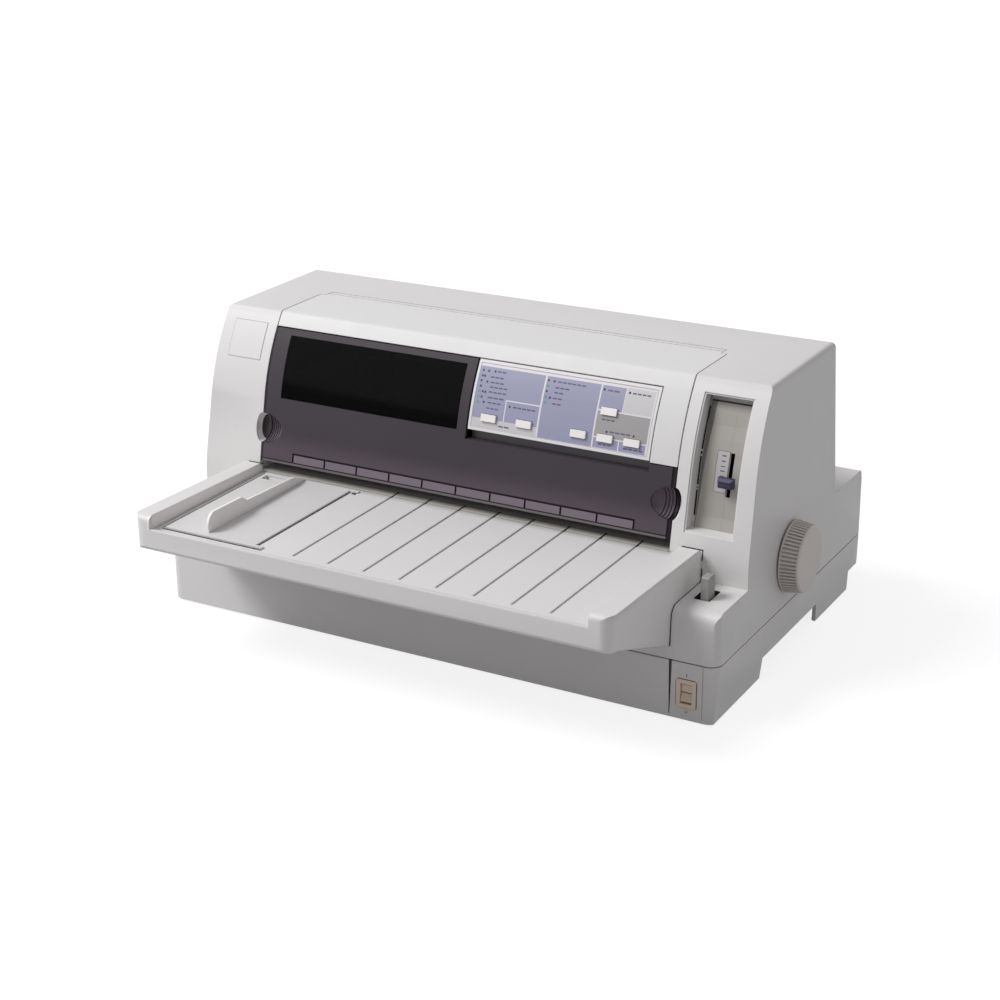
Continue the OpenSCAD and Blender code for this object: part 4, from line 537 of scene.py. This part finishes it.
FINISHES = {
    housing: ["lower_case", "upper_case", "rear_cover"],
    cover_white: ["printer_cover"],
    tray_white: ["front_tray"],
    guide_white: ["edge_guide"],
    smoked: ["front_cover"],
    foot_rubber: ["rubber_feet"],
    screw_steel: ["case_screws", "frame_screws"],
    sheet_steel: ["chassis_plate", "left_side_frame", "right_side_frame", "front_rail", "release_bracket"],
    dark_paint: ["paper_bed"],
    panel_white: ["panel_frame"],
    panel_print: ["panel_sheet"],
    board_green: ["panel_board", "main_board"],
    board_tan: ["power_board"],
    key_plastic: [f"key_{i}" for i in range(1, 7)],
    shaft_steel: ["guide_shaft", "platen_shaft", "tractor_shaft", "tractor_bar"],
    purple: ["thickness_lever"],
    lever_grey: ["release_lever"],
    rubber: ["platen_roller", "front_feed_rollers", "rear_feed_rollers"],
    roller_grey: ["front_pressure_rollers", "rear_pressure_rollers"],
    nylon: ["front_idler_gear", "rear_idler_gear", "tractor_idler_gear", "drive_pulley", "idler_pulley",
            "left_sprocket", "right_sprocket"],
    brass: ["feed_pinion"],
    motor_grey: ["feed_motor", "carriage_motor"],
    black_plastic: ["carriage", "ribbon_cartridge", "left_tractor", "right_tractor", "left_tractor_lid",
                    "right_tractor_lid", "ac_inlet"],
    head_metal: ["print_head"],
    belt_black: ["drive_belt"],
    knob_grey: ["platen_knob"],
    switch_tan: ["switch_rocker"],
    bezel_tan: ["switch_bezel"],
}
# points this near are one, in metres, and edges from this angle on stay sharp
WELD_REACH, SHARP_FROM = 0.000002, math.radians(24)


def dress(node, finish):
    """Gives a solid its finish, and smooth shading across its curved faces."""
    mesh = node.data
    mesh.materials.clear()
    mesh.materials.append(finish.material)
    mesh.polygons.foreach_set("use_smooth", [True] * len(mesh.polygons))
    weld = node.modifiers.new("weld", "WELD")
    weld.merge_threshold = WELD_REACH
    split = node.modifiers.new("edges", "EDGE_SPLIT")
    split.split_angle = SHARP_FROM


for made, names in FINISHES.items():
    for name in names:
        dress(NODES[name], made)

# ---- marks of the control panel ----
# middle, height and length of each row of bars, and then the spots of the lamps
WORDS = [(21.8, 197.5, 7.0), (18.9, 193.6, 10.5), (19.9, 190.1, 10.5), (21.7, 187.1, 14.0), (21.6, 183.8, 14.0),
         (21.1, 180.1, 13.0), (20.5, 176.7, 10.5), (19.5, 172.9, 9.5), (45.1, 176.2, 18.0), (30.8, 161.8, 8.5),
         (78.3, 197.2, 22.0), (71.6, 193.4, 11.0), (69.5, 190.2, 7.0), (69.5, 186.5, 7.0), (69.5, 182.9, 7.0),
         (111.0, 197.0, 9.0), (132.7, 197.5, 14.0), (111.4, 178.4, 10.0), (121.9, 170.9, 16.0), (111.2, 161.9, 10.0),
         (133.1, 161.6, 15.0)]
DOTS = [(6.8, 197.2), (11.2, 197.2), (16.4, 197.4), (6.9, 193.7), (8.9, 193.7), (6.8, 190.4), (11.7, 190.2),
        (7.2, 186.9), (9.6, 183.5), (11.7, 183.4), (9.5, 179.9), (11.9, 176.6), (33.4, 176.2), (59.8, 197.3),
        (64.4, 197.2), (60.0, 190.3), (63.5, 186.5), (103.9, 197.2), (123.4, 197.6), (111.6, 170.7), (132.4, 170.7)]
GREENS = [(6.6, 183.5), (6.6, 179.9), (6.9, 176.2), (60.0, 193.8), (60.0, 186.7), (60.2, 183.2)]
# the sheet's face against the front curve, and how far marks and lamps stand on it
SHEET, MARK, LAMP = -0.25, 0.04, 0.12
BAR_GAP, BAR_PITCH, HALF_BAR = 0.8, 4.0, 0.5


def bars(x, z, length):
    """Short bars with a gap between them, in a row of about the given length centred at x."""
    count = max(1, round((length + BAR_GAP) / BAR_PITCH))
    step = (length + BAR_GAP) / count
    start = x - length / 2
    return [(start + i * step, z - HALF_BAR, start + (i + 1) * step - BAR_GAP, z + HALF_BAR) for i in range(count)]


def squares(spots, half):
    """A square cell round each spot."""
    return [(x - half, z - half, x + half, z + half) for x, z in spots]


film("panel_marks", [bar for word in WORDS for bar in bars(*word)], SHEET, SHEET + MARK, ink)
film("panel_lamps", squares(DOTS, 0.7), SHEET, SHEET + LAMP, lamp_dark)
film("panel_green_lamps", squares(GREENS, 0.9), SHEET, SHEET + LAMP, lamp_green)
film("nameplate_line", outline(-215.4, 179.1, -185.1, 205.4, 0.3), 0.0, 0.05, line_grey)

# ---- the lever pocket: its lining with a slot, painted shade in the gap beside it and at its top, and the thickness scale ----
POCKET_DEPTH, FOLDS, LINING_FOOT = 11.0, (124.0, 188.0), 0.05
# the pocket's lining: left, foot, right, top, and the lever's slot in it
LINING, LEVER_SLOT = (180.9, 114.6, 213.1, 203.4), (201.0, 139.4, 204.4, 170.5)


def over_back(*heights):
    """Heights over the pocket's back, as heights over the front curve."""
    return [height - POCKET_DEPTH for height in heights]


def lining_height(z):
    """Height of the lining over the pocket's back, which rises towards both ends from two folds."""
    return 0.35 + np.clip((z - FOLDS[1]) / 15.0, 0, 1) * 2.2 + np.clip((FOLDS[0] - z) / 9.0, 0, 1) * 1.6


def lining():
    """A curved sheet of four panels round the lever's slot."""
    left, foot, right, top = LINING
    slot_left, slot_foot, slot_right, slot_top = LEVER_SLOT
    panels = [(left, foot, slot_left, top), (slot_right, foot, right, top),
              (slot_left, slot_top, slot_right, top), (slot_left, foot, slot_right, slot_foot)]
    slabs = []
    for x0, z0, x1, z1 in panels:
        stops = {z0, z1, *CURVE_Z[(CURVE_Z > z0) & (CURVE_Z < z1)], *[f for f in FOLDS if z0 < f < z1]}
        x, z = np.meshgrid([x0, x1], sorted(stops))
        front = on_front(x, z, lining_height(z) - POCKET_DEPTH)
        slabs.append(slab(front, on_front(x, z, LINING_FOOT - POCKET_DEPTH)))
    return join(slabs)


mesh_piece("pocket_lining", *lining(), liner_grey)
# painted shade: black films in the gap beside the lining
film("pocket_gap_shade", [(179.0, z, 180.6, top) for z, top in ((121.2, 140.8), (142.2, 164.8), (166.2, 199.5))],
     *over_back(-0.95, -0.6), shade_black)
film("thickness_scale", [(192.0, 142.0, 200.7, 171.0)], *over_back(0.36, 0.5), scale_grey)
# painted shade: a black line along the top of the pocket
film("pocket_top_shade", [(LINING[0], 202.3, LINING[2], 203.3)], *over_back(2.56, 2.62), shade_black)
film("thickness_marks", [(195.4, z - 0.45, 198.4, z + 0.45) for z in np.linspace(146.0, 167.5, 7)]
     + outline(191.7, 141.7, 201.0, 171.3, 0.3), *over_back(0.5, 0.54), ink)

# ---- the apron that carries paper from the tray under the cover, and painted shade lines in the tray's grooves, gaps and seams ----
# heights of thin painted shade lines on the tray's surface, and of the apron over it
ON_TRAY, APRON, APRON_LINES = (97.61, 97.65), (97.62, 97.8), (97.62, 97.66)
APRON_BACK, HALF_GROOVE = 60.5, 0.9
GROOVES = [-56.0 + BOX_PITCH * i for i in range(8)]
edges = [-176.0, *[x + side for x in GROOVES for side in (-HALF_GROOVE, HALF_GROOVE)], 167.8]
flat("paper_apron", [(x0, 50.7, x1, APRON_BACK) for x0, x1 in zip(edges[::2], edges[1::2])], *APRON, apron_grey)
# painted shade: black strips in the grooves on the apron
flat("apron_groove_shade", [(x - HALF_GROOVE, 51.6, x + HALF_GROOVE, APRON_BACK) for x in GROOVES], *APRON_LINES,
     shade_black)
# painted shade: black films in the grooves by the guide plate
flat("tray_groove_shade", [(-167.5, -81.1, -81.5, -79.7), (-88.9, -79.4, -87.9, 46.4)], 97.3, 97.5, shade_black)
# painted shadow: black lines beside the guide plate's edge and corner
flat("tray_edge_shadow", [(-169.0, -79.0, -168.3, 46.0), (-86.4, 40.2, -82.4, 43.6)], *ON_TRAY, shade_black)
# painted shade: a grey line at the foot of the left rail
flat("rail_foot_shade", [(-172.6, -81.0, -172.0, 46.0)], *ON_TRAY, line_grey)
# painted shadow: black contact lines where the rails meet the columns and the block
film("rail_contact_shadows", [(-187.4, 102.4, -173.4, 103.2), (177.6, 102.4, 193.0, 103.3), (193.05, 80.7, 193.9, 103.3)],
     0.0, 0.06, shade_black)
# the black filler of the gap between the tray and the block beside it is painted shade, and follows the block's
# rounded front edge
bend = np.radians(np.linspace(90, 15, 5))
rounded_edge = zip(9.5 - 7.7 * np.cos(bend), 72.5 + 7.7 * np.sin(bend))
filler = [(0.35, 52.4), (50.4, 52.4), (50.4, 80.2), *rounded_edge]
mesh_piece("block_gap_shade", *prism(filler, 193.15, 193.75), shade_black)

# ---- marks of the power switch and a painted shade line in the groove round its bezel, all laid on the same face ----
PRINT_AND_SHADE_DEPTHS = (-0.04, 0.0)
LINE_WIDTH, OFF_MARK, RING_HOLE = 0.5, np.array([206.9, 6.0]), 0.62


def print_and_shade_ring(name, outer, inner, finish):
    """A mark between two loops: printed for the switch's marks, painted shade for the line round the bezel."""
    mesh_piece(name, *upright(outer, inner, *PRINT_AND_SHADE_DEPTHS), finish)


around_bezel = (BEZEL[0] - LINE_WIDTH, BEZEL[1] - LINE_WIDTH, BEZEL[2] + LINE_WIDTH, BEZEL[3] + LINE_WIDTH)
# painted shade: a black ring in the groove round the bezel
print_and_shade_ring("switch_groove_shade", rounded_loop(*around_bezel, 2.2), rounded_loop(*BEZEL, 1.7), shade_black)
print_and_shade_ring("switch_on_mark", rounded_loop(206.4, 32.2, 207.1, 34.6, 0.1),
           rounded_loop(206.7, 33.3, 206.8, 33.5, 0.01), ink)
angle = np.linspace(0, 2 * math.pi, 20, endpoint=False)
circle = np.column_stack([np.cos(angle), np.sin(angle)])
print_and_shade_ring("switch_off_mark", OFF_MARK + circle, OFF_MARK + RING_HOLE * circle, ink)


# ---- floor, lights and camera ----
def plain_rays(tree):
    """One for rays that show a surface to the camera, in a gloss or through a pane, and zero for all others."""
    path = tree.nodes.new("ShaderNodeLightPath")
    camera, gloss, through = (Value(tree, path.outputs[f"Is {kind} Ray"]) for kind in
                              ("Camera", "Glossy", "Transmission"))
    return camera.most(gloss).most(through)


FLOOR_HALF, FLOOR_POINTS, FLOOR_Z = 9000.0, 13, -1.5


def lay_floor():
    """A wide pale floor: lit and glowing where it is seen, and a plain grey where it only sends light back."""
    finish = Finish("floor", (0.8, 0.8, 0.8), 0.9, Emission_Strength=1.0, Specular_IOR_Level=0.0)
    seen = plain_rays(finish.tree)
    finish.feed(Base_Color=finish.mix(seen, (0.36, 0.36, 0.36), (0.24, 0.24, 0.24)),
                Emission_Color=finish.mix(seen, (0.0, 0.0, 0.0), (0.82, 0.82, 0.82)))
    side = np.linspace(-FLOOR_HALF, FLOOR_HALF, FLOOR_POINTS)
    points = np.stack([*np.meshgrid(side, side, indexing="ij"), np.full((FLOOR_POINTS, FLOOR_POINTS), FLOOR_Z)], -1)
    faces = grid_faces(FLOOR_POINTS, FLOOR_POINTS)[:, ::-1]
    return mesh_piece("floor", points.reshape(-1, 3), faces, finish, None)


floor = lay_floor()

SKY = 0.45
world = bpy.data.worlds.new("studio")
bpy.context.scene.world = world
world.use_nodes = True
backdrop = world.node_tree.nodes["Background"]
backdrop.inputs["Color"].default_value = (1.0, 1.0, 1.0, 1.0)
put(world.node_tree, backdrop.inputs["Strength"], SKY + plain_rays(world.node_tree) * (1.0 - SKY))


def sun(name, toward, energy, spread):
    """A broad soft lamp shining from the direction toward."""
    lamp = bpy.data.lights.new(name, "SUN")
    lamp.energy, lamp.angle = energy, math.radians(spread)
    holder = add_object(name, lamp)
    holder.rotation_mode = "QUATERNION"
    holder.rotation_quaternion = Vector(toward).to_track_quat("Z", "Y")


def softbox(name, spot, target, width, energy):
    """A square lamp at a spot that faces a target, both in the housing's frame in mm."""
    lamp = bpy.data.lights.new(name, "AREA")
    lamp.energy, lamp.size = energy, width * MM
    holder = add_object(name, lamp)
    here, there = (Vector(place([point])[0]) for point in (spot, target))
    turn = (here - there).to_track_quat("Z", "Y").to_matrix().to_4x4()
    holder.matrix_world = Matrix.Translation(here) @ turn
    holder.visible_camera = False


sun("key", (-0.52, -0.36, 0.775), 2.12, 24)
softbox("fill", (-520.0, -400.0, 520.0), (-150.0, 50.0, 150.0), 500.0, 1.15)

CAM_AZ, CAM_EL, CAM_ROLL = math.radians(29.777), math.radians(21.338), math.radians(-0.63)
CAM_DISTANCE, CAM_TARGET, CAM_FOCAL_PX = 1495.49, (1.074, 90.615, 87.961), 2003.07
CAM_OFFSET_PX, PICTURE_PX, SENSOR = (-13.71, 4.47), 1000, 36.0
CAM_CLIP = (0.05, 60.0)


def make_camera():
    """A camera at an azimuth and elevation round a target, rolled, with its lens from pixels."""
    backward = Vector((math.sin(CAM_AZ) * math.cos(CAM_EL), -math.cos(CAM_AZ) * math.cos(CAM_EL), math.sin(CAM_EL)))
    right = Vector((math.cos(CAM_AZ), math.sin(CAM_AZ), 0))
    up = backward.cross(right)
    level, turned = math.cos(CAM_ROLL), math.sin(CAM_ROLL)
    across, above = right * level + up * turned, up * level - right * turned
    data = bpy.data.cameras.new("camera")
    data.sensor_width = SENSOR
    data.lens = CAM_FOCAL_PX / PICTURE_PX * SENSOR
    data.shift_x, data.shift_y = -CAM_OFFSET_PX[0] / PICTURE_PX, CAM_OFFSET_PX[1] / PICTURE_PX
    data.clip_start, data.clip_end = CAM_CLIP
    camera = add_object("camera", data)
    spot = Vector(place([CAM_TARGET])[0]) + backward * CAM_DISTANCE * MM
    turn = Matrix((across, above, backward)).transposed().to_4x4()
    camera.matrix_world = Matrix.Translation(spot) @ turn
    bpy.context.scene.camera = camera


make_camera()
bpy.context.scene.view_settings.view_transform = "Standard"
